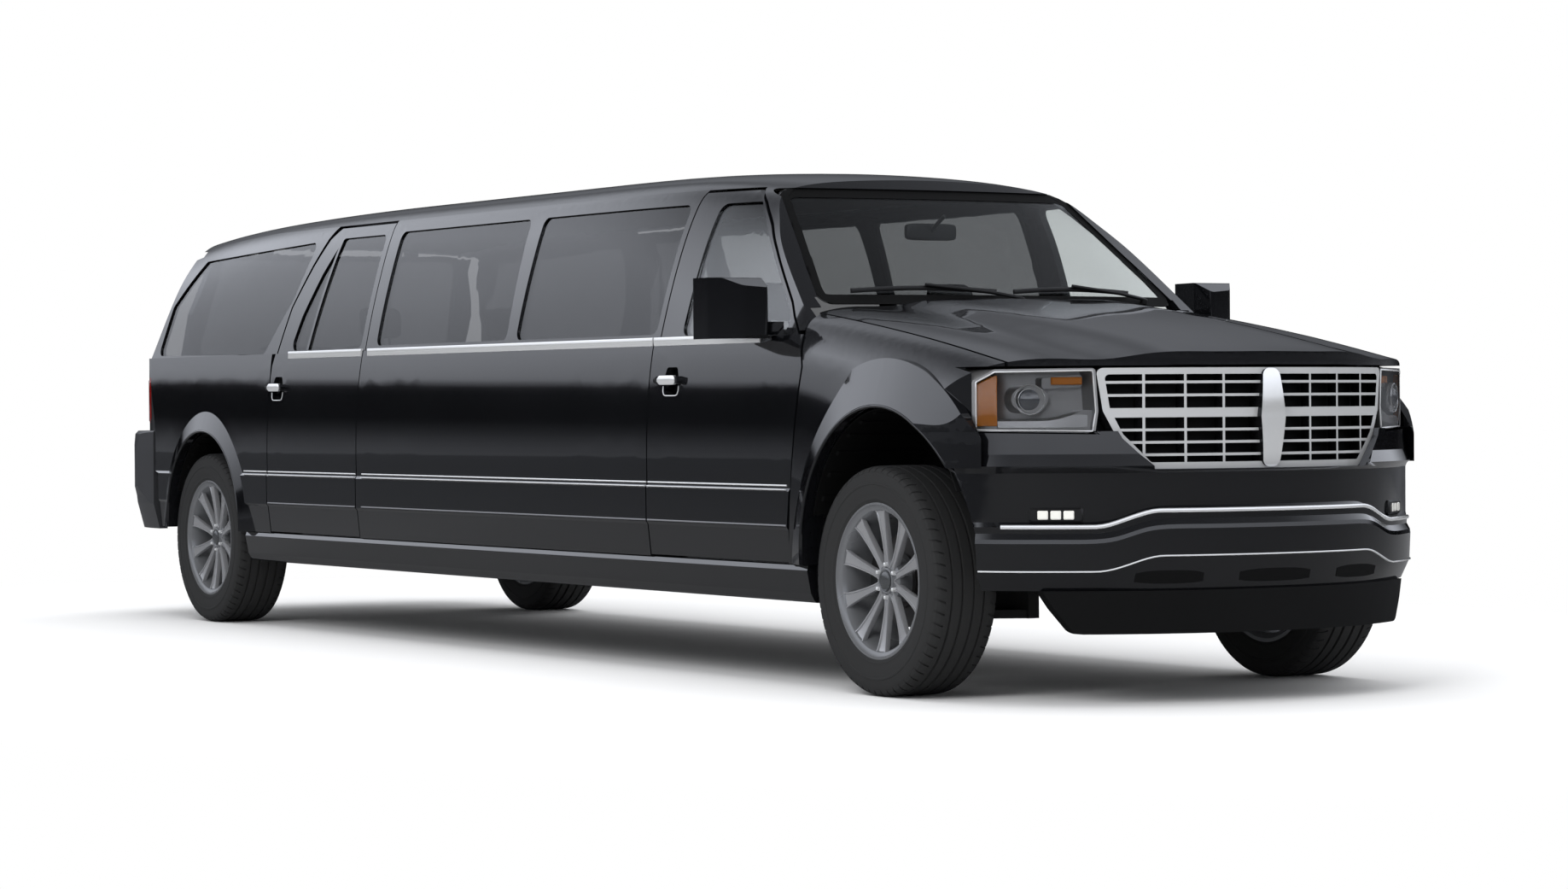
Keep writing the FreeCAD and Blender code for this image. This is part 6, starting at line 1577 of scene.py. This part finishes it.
@dataclass
class Seats:
    """The front seats, the side lounge and the rear bench.

    Attributes:
        front_x: the front seats' station.
        front_y: how far each front seat is from the middle.
        width: a front seat's width.
    """

    front_x: float = FRONT_X - 1.290
    front_y: float = 0.400
    width: float = 0.520

    def build(self) -> None:
        """Builds every padded piece and takes the CAD seats out."""
        for y, word in ((-self.front_y, "right"), (self.front_y, "left")):
            self._front_seat(y, word)
        self._lounge()
        self._bench()
        LOG.info("seats: padded pieces, %d forms", len(FILLED))

    def _pad(self, node: str, name: str, low: Point, high: Point, where: Matrix,
             across: tuple[float, ...] = (), along: tuple[float, ...] = ()) -> None:
        """Builds one cushion, which stands in for a CAD node."""
        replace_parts(Padding(name, low, high, where, across, along).build(), node)

    def _front_seat(self, y: float, word: str) -> None:
        """A seat: base, cushion, back, bolsters and headrest."""
        x, half, floor = self.front_x, self.width / 2, CABIN_FLOOR
        node = "front_seats"
        self._pad(node, f"seat_cushion_{word}", (-0.26, -half + 0.07, -0.055), (0.27, half - 0.07, 0.055),
                  tilt((x, y, floor + 0.238), -3), (-0.10, 0.06))
        for s in (-1, 1):
            self._pad(node, f"seat_bolster_{word}_{s + 1}", (-0.25, -0.05, -0.06), (0.26, 0.05, 0.075),
                      tilt((x, y + s * (half - 0.055), floor + 0.238), -3))
            self._pad(node, f"back_bolster_{word}_{s + 1}", (-0.26, -0.05, -0.055), (0.26, 0.05, 0.07),
                      tilt((x - 0.226, y + s * (half - 0.06), floor + 0.53), -103))
        self._pad(node, f"seat_back_{word}", (-0.27, -half + 0.08, -0.05), (0.29, half - 0.08, 0.05),
                  tilt((x - 0.232, y, floor + 0.535), -103), (-0.06, 0.09))
        base = Shape().block((x - 0.21, y - half + 0.05, floor + 0.020),
                             (x + 0.19, y + half - 0.05, floor + 0.180), 0.02)
        for s in (-1, 1):
            base.add(Shape().block((x - 0.24, y + s * 0.19 - 0.02, floor + 0.001),
                                   (x + 0.24, y + s * 0.19 + 0.02, floor + 0.024), 0.004))
        self._headrest(node, f"headrest_{word}", x, y, base)
        piece = place(f"seat_base_{word}", base.mesh("seat_base"), BLACK_TRIM, "chassis", 30.0)
        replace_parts(piece, node)

    def _headrest(self, node: str, name: str, x: float, y: float, base: Shape) -> None:
        """A headrest, with its two posts added to the seat's base."""
        self._pad(node, name, (-0.085, -0.118, -0.034), (0.085, 0.118, 0.034),
                  tilt((x - 0.325, y, CABIN_FLOOR + 0.905), -98))
        for s in (-1, 1):
            foot, head = CABIN_FLOOR + 0.78, CABIN_FLOOR + 0.85
            base.rod([(x - 0.312, y + s * 0.045, foot), (x - 0.322, y + s * 0.045, head)], 0.006, 12)

    def _lounge(self) -> None:
        """The long seat along the right side, in like places."""
        node, first, last, count = "lounge_seats", REAR_X + 1.845, FRONT_X - 2.315, 6
        step = (last - first) / count
        plinth = Shape()
        plinth.block((first - 0.015, -0.880, CABIN_FLOOR + 0.001), (last + 0.015, -0.41, CABIN_FLOOR + 0.30),
                     0.015)
        for k in range(count):
            x = first + step * (k + 0.5)
            self._pad(node, f"lounge_cushion_{k}", (-step / 2 + 0.002, -0.235, -0.068),
                      (step / 2 - 0.002, 0.235, 0.068), tilt((x, -0.642, CABIN_FLOOR + 0.364), 0), (),
                      (-0.07, 0.07))
            back = (Matrix.Translation((x, -0.790, CABIN_FLOOR + 0.615)) @ Matrix.Rotation(math.pi, 4, "Z")
                    @ Matrix.Rotation(math.radians(75), 4, "X"))
            self._pad(node, f"lounge_back_{k}", (-step / 2 + 0.002, -0.180, -0.045),
                      (step / 2 - 0.002, 0.185, 0.045), back, (-step / 6, step / 6))
        piece = place("lounge_plinth", plinth.mesh("plinth"), CARPET, "chassis", 30.0)
        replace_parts(piece, node)

    def _bench(self) -> None:
        """The bench at the back: cushions, backs and headrests."""
        node, x, floor = "rear_bench", REAR_X + 0.930, CABIN_FLOOR
        plinth = Shape().block((x - 0.21, -0.63, floor + 0.001), (x + 0.19, 0.63, floor + 0.175), 0.015)
        for k, y in enumerate((-0.33, 0.33)):
            self._pad(node, f"bench_cushion_{k}", (-0.26, -0.312, -0.055), (0.27, 0.312, 0.06),
                      tilt((x, y, floor + 0.238), -3), (-0.08, 0.08), (-0.10, 0.10))
            self._pad(node, f"bench_back_{k}", (-0.27, -0.312, -0.052), (0.29, 0.312, 0.055),
                      tilt((x - 0.232, y, floor + 0.535), -103), (-0.06, 0.09), (-0.10, 0.10))
            self._headrest(node, f"bench_headrest_{k}", x, y, plinth)
        piece = place("bench_plinth", plinth.mesh("plinth"), CARPET, "chassis", 30.0)
        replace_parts(piece, node)


@dataclass
class Cockpit:
    """The steering wheel, the dash's fittings and the rear-view mirror.

    Attributes:
        hub: the steering wheel's middle.
        lean: how far it leans.
        radius: its radius.
    """

    hub: Point = (FRONT_X - 0.940, 0.400, 1.130)
    lean: float = 28.0
    radius: float = 0.185

    def build(self) -> None:
        """Builds the cockpit's pieces."""
        wheel = place("steering_rim", self._rim().mesh("steering_rim"), LEATHER, "chassis", 40.0)
        boss = place("steering_boss", self._boss().mesh("steering_boss"), BLACK_TRIM, "chassis", 35.0)
        for piece in (wheel, boss):
            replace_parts(piece, "steering_wheel")
        place("dash_vents", self._vents().mesh("dash_vents"), BLACK_TRIM, "chassis", 30.0)
        place("dash_screen", Shape().block((fx(-0.872), -0.13, 1.03), (fx(-0.861), 0.13, 1.15), 0.003)
              .mesh("dash_screen"), DEEP_BLACK, "chassis", 30.0)
        glass = Skin(("windshield",)).front(0.0, 1.745)
        x = glass.x - 0.115
        mirror = Shape().add(superbox((x - 0.030, -0.115, 1.655), (x, 0.115, 1.720), 6.0, 32, 12))
        mirror.rod([(x - 0.010, 0, 1.69), (x + 0.030, 0, 1.715), (glass.x - 0.030, 0, 1.745)], 0.008, 10)
        place("cabin_mirror", mirror.mesh("cabin_mirror"), BLACK_TRIM, "chassis", 50.0)
        place("headliner", self._headliner().mesh("headliner"), HEADLINER, "chassis", 40.0)
        LOG.info("cockpit: wheel, vents, screen, mirror and headliner")

    def _headliner(self) -> Shape:
        """A cloth lining close under the roof, from the screen to the tail."""
        roof = Skin(("roof_panel",)).tree
        first, last = REAR_X - 0.45, FRONT_X - 1.12
        rings = []
        for k in range(49):
            x = first + (last - first) * k / 48
            line = []
            for i in range(15):
                y = -0.60 + 1.20 * i / 14
                hit = roof.ray_cast(Vector((x, y, 1.50)), Vector((0, 0, 1)))[0]
                if hit is not None:
                    line.append(hit)
            if len(line) == 15:
                under = [p - Vector((0, 0, 0.003)) for p in line]
                rings.append(under + [p - Vector((0, 0, 0.012)) for p in reversed(line)])
        return Shape().loft(rings)

    def _set(self) -> Matrix:
        """The steering wheel's axes: its own Y is the column, towards the driver."""
        return (Matrix.Translation(self.hub) @ Matrix.Rotation(math.radians(-self.lean), 4, "Y")
                @ Matrix.Rotation(math.radians(90), 4, "Z"))

    def _rim(self) -> Shape:
        """The rim, thicker at the grips."""
        rings = []
        for k in range(72):
            a = 2 * math.pi * k / 72
            grip = 0.0135 + 0.0030 * max(0.0, math.cos(2 * (a - math.pi / 2))) ** 3
            rings.append([((self.radius + grip * math.cos(t)) * math.sin(a), grip * math.sin(t),
                           (self.radius + grip * math.cos(t)) * math.cos(a))
                          for t in (2 * math.pi * i / 14 for i in range(14))])
        return Shape().loft(rings, True).moved(self._set())

    def _boss(self) -> Shape:
        """The blank boss, four arms and the column's shroud."""
        boss = superbox((-0.075, -0.020, -0.055), (0.075, 0.022, 0.055), 4.0, 32, 12)
        for angle in (75, 105, 215, 145, 255, 285):
            a = math.radians(angle)
            reach = Vector((math.sin(a), 0, math.cos(a)))
            boss.rod([reach * 0.05, reach * (self.radius - 0.008) + Vector((0, 0.002, 0))], 0.009, 10)
        boss = boss.moved(self._set())
        along = self._set() @ Vector((0, 0.15, 0)) - Vector(self.hub)
        here = Vector(self.hub)
        ahead = along if along.x > 0 else -along
        return boss.rod([here + ahead * 0.1, here + ahead * 0.75], 0.038, 20)

    def _vents(self) -> Shape:
        """Louvred vents across the dash."""
        vents = Shape()
        slat = Shape().block((fx(-0.8665), -0.055, 0.0), (fx(-0.850), 0.055, 0.0035), 0.001)
        rows = REPEATS.row(slat, 6, (0.0, 0.0, 0.0105), BLACK_TRIM)
        for y in (-0.72, -0.20, 0.20, 0.72):
            vents.add(rows.moved(Matrix.Translation((0, y, 1.075))))
            for z in (1.066, 1.136):
                vents.block((fx(-0.868), y - 0.062, z), (fx(-0.848), y + 0.062, z + 0.006), 0.002)
            for s in (-1, 1):
                vents.block((fx(-0.868), y + s * 0.059 - 0.003, 1.068),
                            (fx(-0.848), y + s * 0.059 + 0.003, 1.140), 0.002)
        return vents


# Engine

@dataclass
class Engine:
    """A vee engine under the bonnet: block, heads, covers, plenum, front drive and manifolds.

    Attributes:
        rear: the block's back.
        front: the block's front.
        bore_step: the spacing of the intake runners.
    """

    rear: float = FRONT_X - 0.285
    front: float = FRONT_X + 0.440
    bore_step: float = 0.145

    def build(self) -> None:
        """Builds the engine's pieces, which stand in for the CAD block."""
        parts = {"engine_case": (self._case(), ENGINE), "cam_covers": (self._covers(), BLACK_TRIM),
                 "intake": (self._intake(), BLACK_TRIM), "front_drive": (self._drive(), STEEL),
                 "manifolds": (self._manifolds(), STEEL)}
        for name, (shape, finish) in parts.items():
            piece = place(name, shape.mesh(name), finish, "chassis", 30.0)
            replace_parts(piece, "engine_block")
        LOG.info("engine: %d pieces", len(parts))

    def _bank(self, section: list[tuple[float, float]], side: int) -> Shape:
        """Runs a (y, z) section of one bank from the rear to the front."""
        stations = (self.rear + 0.01, self.rear + 0.03, self.front - 0.05, self.front - 0.03)
        middle = Vector((0, sum(p[0] for p in section) / len(section),
                         sum(p[1] for p in section) / len(section)))
        rings = []
        for k, x in enumerate(stations):
            shrink = 0.93 if k in (0, 3) else 1.0
            rings.append([(x, side * (middle.y + (y - middle.y) * shrink), middle.z + (z - middle.z) * shrink)
                          for y, z in section])
        return Shape().loft(rings)

    def _case(self) -> Shape:
        """The case with its sump, ribs and both heads."""
        case = Shape().block((self.rear, -0.19, 0.640), (self.front - 0.02, 0.19, 0.860), 0.02)
        case.block((self.rear + 0.02, -0.13, 0.565), (self.front - 0.14, 0.13, 0.650), 0.025)
        rib = Shape().block((self.rear + 0.035, -0.200, 0.660), (self.rear + 0.047, 0.200, 0.840), 0.003)
        case.add(REPEATS.row(rib, 8, (0.083, 0.0, 0.0), ENGINE))
        for side in (-1, 1):
            case.add(self._bank([(0.06, 0.84), (0.18, 0.78), (0.275, 0.915), (0.150, 1.000)], side))
        return case

    def _covers(self) -> Shape:
        """The cam covers with their bolts."""
        covers = Shape()
        for side in (-1, 1):
            covers.add(self._bank([(0.148, 1.004), (0.277, 0.919), (0.300, 0.955), (0.285, 0.995),
                                   (0.200, 1.052), (0.165, 1.040)], side))
            bolt = Shape().spin([(0.0, 0.0), (0.008, 0.0), (0.008, 0.010), (0.004, 0.013), (0.0, 0.013)], 12)
            lean = Matrix.Rotation(math.radians(90), 4, "X")
            first = bolt.moved(Matrix.Translation((self.rear + 0.05, side * 0.243, 1.020)) @ lean)
            covers.add(REPEATS.row(first, 7, (0.098, 0.0, 0.0), BLACK_TRIM))
        return covers

    def _intake(self) -> Shape:
        """The plenum with its runners and throttle."""
        intake = superbox((self.rear + 0.05, -0.105, 1.000), (self.front - 0.07, 0.105, 1.105), 4.0, 36, 14)
        runner = Shape()
        for side in (-1, 1):
            runner.rod([(self.rear + 0.10, side * 0.085, 1.045), (self.rear + 0.10, side * 0.130, 1.040),
                        (self.rear + 0.10, side * 0.160, 1.005), (self.rear + 0.10, side * 0.150, 0.960)],
                        0.022, 14)
        intake.add(REPEATS.row(runner, 4, (self.bore_step, 0.0, 0.0), BLACK_TRIM))
        return intake.rod([(self.front - 0.09, 0, 1.05), (self.front - 0.03, 0, 1.05)], 0.040, 24)

    def _drive(self) -> Shape:
        """The pulleys, the fan and its hub at the front."""
        drive = Shape()
        pulley = [(0.0, 0.0), (1.0, 0.0), (1.0, 0.006), (0.92, 0.009), (0.92, 0.018), (1.0, 0.021),
                  (1.0, 0.027), (0.0, 0.027)]
        turn = Matrix.Rotation(math.radians(-90), 4, "Z")
        for y, z, radius in ((0.0, 0.72, 0.085), (0.0, 0.90, 0.065), (0.155, 0.93, 0.034),
                             (-0.155, 0.80, 0.055), (0.150, 0.73, 0.045)):
            shape = Shape().spin([(r * radius, w) for r, w in pulley], 36)
            drive.add(shape.moved(Matrix.Translation((self.front - 0.02, y, z)) @ turn))
        blade = Shape().block((self.front + 0.028, 0.045, 0.865), (self.front + 0.036, 0.185, 0.935), 0.004)
        hub = Matrix.Translation((0, 0, 0.90))
        for k in range(7):
            spin = hub @ Matrix.Rotation(2 * math.pi * k / 7, 4, "X") @ hub.inverted()
            drive.add(blade.moved(spin))
        return drive.rod([(self.front - 0.01, 0, 0.90), (self.front + 0.045, 0, 0.90)], 0.05, 24)

    def _manifolds(self) -> Shape:
        """A cast manifold down each side."""
        out = Shape()
        for side in (-1, 1):
            out.rod([(self.front - 0.10, side * 0.262, 0.865), (self.rear + 0.10, side * 0.268, 0.850),
                     (self.rear + 0.04, side * 0.268, 0.800), (self.rear + 0.02, side * 0.255, 0.700)],
                     0.028, 16)
        return out


@dataclass
class Studio:
    """A pale floor, a soft sky and broad lamps.

    Attributes:
        floor_size: the length of the floor's side.
        floor_tone: the floor's colour, for all but reflections.
        mirrored_tone: the floor's colour in reflections.
        fade: the half lengths of the oval beyond which the floor turns plain white for the camera.
        key_strength: the power of the strongest lamp.
        sky: what reflections see, as (degrees above the horizon, brightness).
        beyond: where the backdrop behind the object starts to darken in reflections, where it is darkest, and
            the scale of the brightness elsewhere and there.
        outward: the way to that backdrop.
    """

    floor_size: float = 160.0
    floor_tone: float = 0.93
    mirrored_tone: float = 0.21
    fade: tuple[float, float] = (7.5, 4.6)
    key_strength: float = 900.0
    sky: tuple[tuple[float, float], ...] = (
        (-90.0, 0.18), (-2.0, 0.17), (-0.8, 0.16), (0.3, 0.10), (1.4, 0.03), (2.2, 0.003), (5.5, 0.003),
        (6.3, 0.44), (9.0, 0.52), (13.0, 0.75), (18.0, 0.98), (30.0, 0.60), (46.0, 0.14), (90.0, 0.07))
    beyond: tuple[float, float, float, float] = (0.70, 0.92, 1.5, 0.18)
    outward: Point = (-0.87, 0.49, 0.0)

    def build(self) -> None:
        """Builds the floor, the world and the lamps."""
        self._floor()
        self._world()
        self._lamp("key", (9.0, -11.0, 9.0), 7.0, self.key_strength)
        self._lamp("fill", (-6.0, 12.0, 8.0), 9.0, self.key_strength * 0.5)
        self._lamp("top", (0.0, 0.0, 9.0), 10.0, self.key_strength * 0.6)
        LOG.info("built the studio")

    def _floor(self) -> None:
        """A white floor whose far part fades into the background for the camera."""
        mesh = bpy.data.meshes.new("floor")
        h = self.floor_size / 2
        mesh.from_pydata([(-h, -h, 0), (h, -h, 0), (h, h, 0), (-h, h, 0)], [], [(0, 1, 2, 3)])
        floor = bpy.data.objects.new("floor", mesh)
        bpy.context.scene.collection.objects.link(floor)
        made = bpy.data.materials.new("studio_floor")
        made.use_nodes = True
        tree = made.node_tree
        shader = tree.nodes["Principled BSDF"]
        preset(shader, {"Roughness": 0.9, "Specular IOR Level": 0.0})
        path = tree.nodes.new("ShaderNodeLightPath")
        shade = add_node(tree, "ShaderNodeMix", data_type="RGBA")
        preset(shade, {"A": (*[self.floor_tone] * 3, 1), "B": (*[self.mirrored_tone] * 3, 1)})
        wire(tree, (path, "Is Glossy Ray", shade, "Factor"), (shade, "Result", shader, "Base Color"))
        coords = tree.nodes.new("ShaderNodeTexCoord")
        squash = add_node(tree, "ShaderNodeVectorMath", operation="MULTIPLY")
        squash.inputs[1].default_value = (1 / self.fade[0], 1 / self.fade[1], 0)
        reach = add_node(tree, "ShaderNodeVectorMath", operation="LENGTH")
        fade = add_node(tree, "ShaderNodeMapRange", interpolation_type="SMOOTHSTEP")
        fade.inputs["From Min"].default_value = 0.72
        seen = add_node(tree, "ShaderNodeMath", operation="MULTIPLY")
        white = tree.nodes.new("ShaderNodeEmission")
        mix = tree.nodes.new("ShaderNodeMixShader")
        wire(tree, (coords, "Object", squash, 0), (squash, 0, reach, 0), (reach, "Value", fade, "Value"),
                   (fade, "Result", seen, 0), (path, "Is Camera Ray", seen, 1), (seen, 0, mix, 0),
                   (shader, 0, mix, 1), (white, 0, mix, 2))
        tree.links.new(mix.outputs[0], tree.nodes["Material Output"].inputs["Surface"])
        mesh.materials.append(made)

    def _world(self) -> None:
        """White behind the object, even light on it, and a darker horizon in its reflections."""
        world = bpy.data.worlds.new("studio")
        bpy.context.scene.world = world
        world.use_nodes = True
        tree = world.node_tree
        tree.nodes.clear()
        coords = tree.nodes.new("ShaderNodeTexCoord")
        split = tree.nodes.new("ShaderNodeSeparateXYZ")
        tree.links.new(coords.outputs["Generated"], split.inputs[0])
        lift = tree.nodes.new("ShaderNodeMapRange")
        lift.inputs["From Min"].default_value = -1.0
        tree.links.new(split.outputs["Z"], lift.inputs["Value"])
        ramp = tree.nodes.new("ShaderNodeValToRGB")
        stops = [((math.sin(math.radians(a)) + 1) / 2, grey) for a, grey in self.sky]
        bar = ramp.color_ramp
        for at, grey in stops[1:-1]:
            bar.elements.new(at)
        for stop, (at, grey) in zip(bar.elements, stops):
            stop.position = at
            stop.color = (grey * 0.94, grey * 0.98, grey * 1.08, 1)
        tree.links.new(lift.outputs["Result"], ramp.inputs["Fac"])
        path = tree.nodes.new("ShaderNodeLightPath")
        glossy = add_node(tree, "ShaderNodeMix", data_type="RGBA")
        glossy.inputs["A"].default_value = (0.72, 0.73, 0.75, 1)
        mirrored = add_node(tree, "ShaderNodeMath", operation="MINIMUM")
        mirrored.inputs[1].default_value = 1.0
        wire(tree, (path, "Glossy Depth", mirrored, 0), (mirrored, 0, glossy, "Factor"))
        along = add_node(tree, "ShaderNodeVectorMath", operation="DOT_PRODUCT")
        along.inputs[1].default_value = self.outward
        dark = add_node(tree, "ShaderNodeMapRange", interpolation_type="SMOOTHSTEP")
        for key, value in zip(("From Min", "From Max", "To Min", "To Max"), self.beyond):
            dark.inputs[key].default_value = value
        dimmed = add_node(tree, "ShaderNodeVectorMath", operation="SCALE")
        wire(tree, (coords, "Generated", along, 0), (along, "Value", dark, "Value"),
                   (ramp, "Color", dimmed, 0), (dark, "Result", dimmed, "Scale"), (dimmed, 0, glossy, "B"))
        clear = add_node(tree, "ShaderNodeMath", operation="MAXIMUM")
        wire(tree, (path, "Is Camera Ray", clear, 0), (path, "Is Transmission Ray", clear, 1))
        straight = add_node(tree, "ShaderNodeMath", operation="SUBTRACT")
        straight.use_clamp = True
        wire(tree, (clear, 0, straight, 0), (mirrored, 0, straight, 1))
        seen = add_node(tree, "ShaderNodeMix", data_type="RGBA")
        seen.inputs["B"].default_value = (1, 1, 1, 1)
        wire(tree, (straight, 0, seen, "Factor"), (glossy, "Result", seen, "A"))
        background = tree.nodes.new("ShaderNodeBackground")
        tree.links.new(seen.outputs["Result"], background.inputs["Color"])
        sink = tree.nodes.new("ShaderNodeOutputWorld")
        tree.links.new(background.outputs[0], sink.inputs["Surface"])

    def _lamp(self, name: str, spot: Point, size: float, watts: float) -> None:
        """One broad lamp aimed at the object's middle.

        Args:
            name: the lamp's name.
            spot: where it hangs.
            size: the length of its side.
            watts: its power.
        """
        light = bpy.data.lights.new(name, "AREA")
        light.size = size
        light.energy = watts
        lamp = bpy.data.objects.new(name, light)
        lamp.location = spot
        lamp.visible_glossy = lamp.visible_transmission = False
        lamp.rotation_euler = (Vector((0, 0, 0.8)) - Vector(spot)).to_track_quat("-Z", "Y").to_euler()
        bpy.context.scene.collection.objects.link(lamp)


@dataclass(frozen=True)
class ViewPoint:
    """The camera's place and turn, as found from the picture's own lines.

    Attributes:
        place: where the camera stands, ahead of the front axle's station.
        yaw: degrees between the view and straight back along the vehicle.
        pitch: degrees that it looks down.
        roll: degrees that it leans.
        lens: the focal length on a 36 mm wide picture.
    """

    place: Point = (FRONT_X + 11.70427, -8.29739, 1.02513)
    yaw: float = 30.71415
    pitch: float = 0.57459
    roll: float = -0.42345
    lens: float = 90.486

    def build(self) -> None:
        """Makes the camera and gives it to the scene."""
        yaw, pitch, roll = (math.radians(a) for a in (self.yaw, self.pitch, self.roll))
        ahead = Vector((-math.cos(yaw) * math.cos(pitch), math.sin(yaw) * math.cos(pitch), -math.sin(pitch)))
        right = ahead.cross(Vector((0, 0, 1))).normalized()
        up = right.cross(ahead)
        right, up = (math.cos(roll) * right + math.sin(roll) * up,
                     -math.sin(roll) * right + math.cos(roll) * up)
        data = bpy.data.cameras.new("camera")
        data.lens, data.sensor_width, data.sensor_fit = self.lens, 36.0, "HORIZONTAL"
        data.clip_end = 200.0
        camera = bpy.data.objects.new("camera", data)
        turn = Matrix((right, up, -ahead)).transposed().to_4x4()
        camera.matrix_world = Matrix.Translation(self.place) @ turn
        bpy.context.scene.collection.objects.link(camera)
        bpy.context.scene.camera = camera


def main() -> None:
    """Builds everything in order."""
    logging.basicConfig(level=logging.INFO, format="%(message)s")
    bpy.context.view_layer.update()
    bpy.context.scene.view_settings.view_transform = "Standard"
    dress_frame()
    for assembly in (Wheel(), SideBrightwork(), FrontBrightwork(), Headlamp(), DoorFittings(), Wipers(),
                     ArchLiners(), TailEnd(), Seats(), Cockpit(), Engine()):
        assembly.build()
    Studio().build()
    ViewPoint().build()


if __name__ == "__main__":
    main()
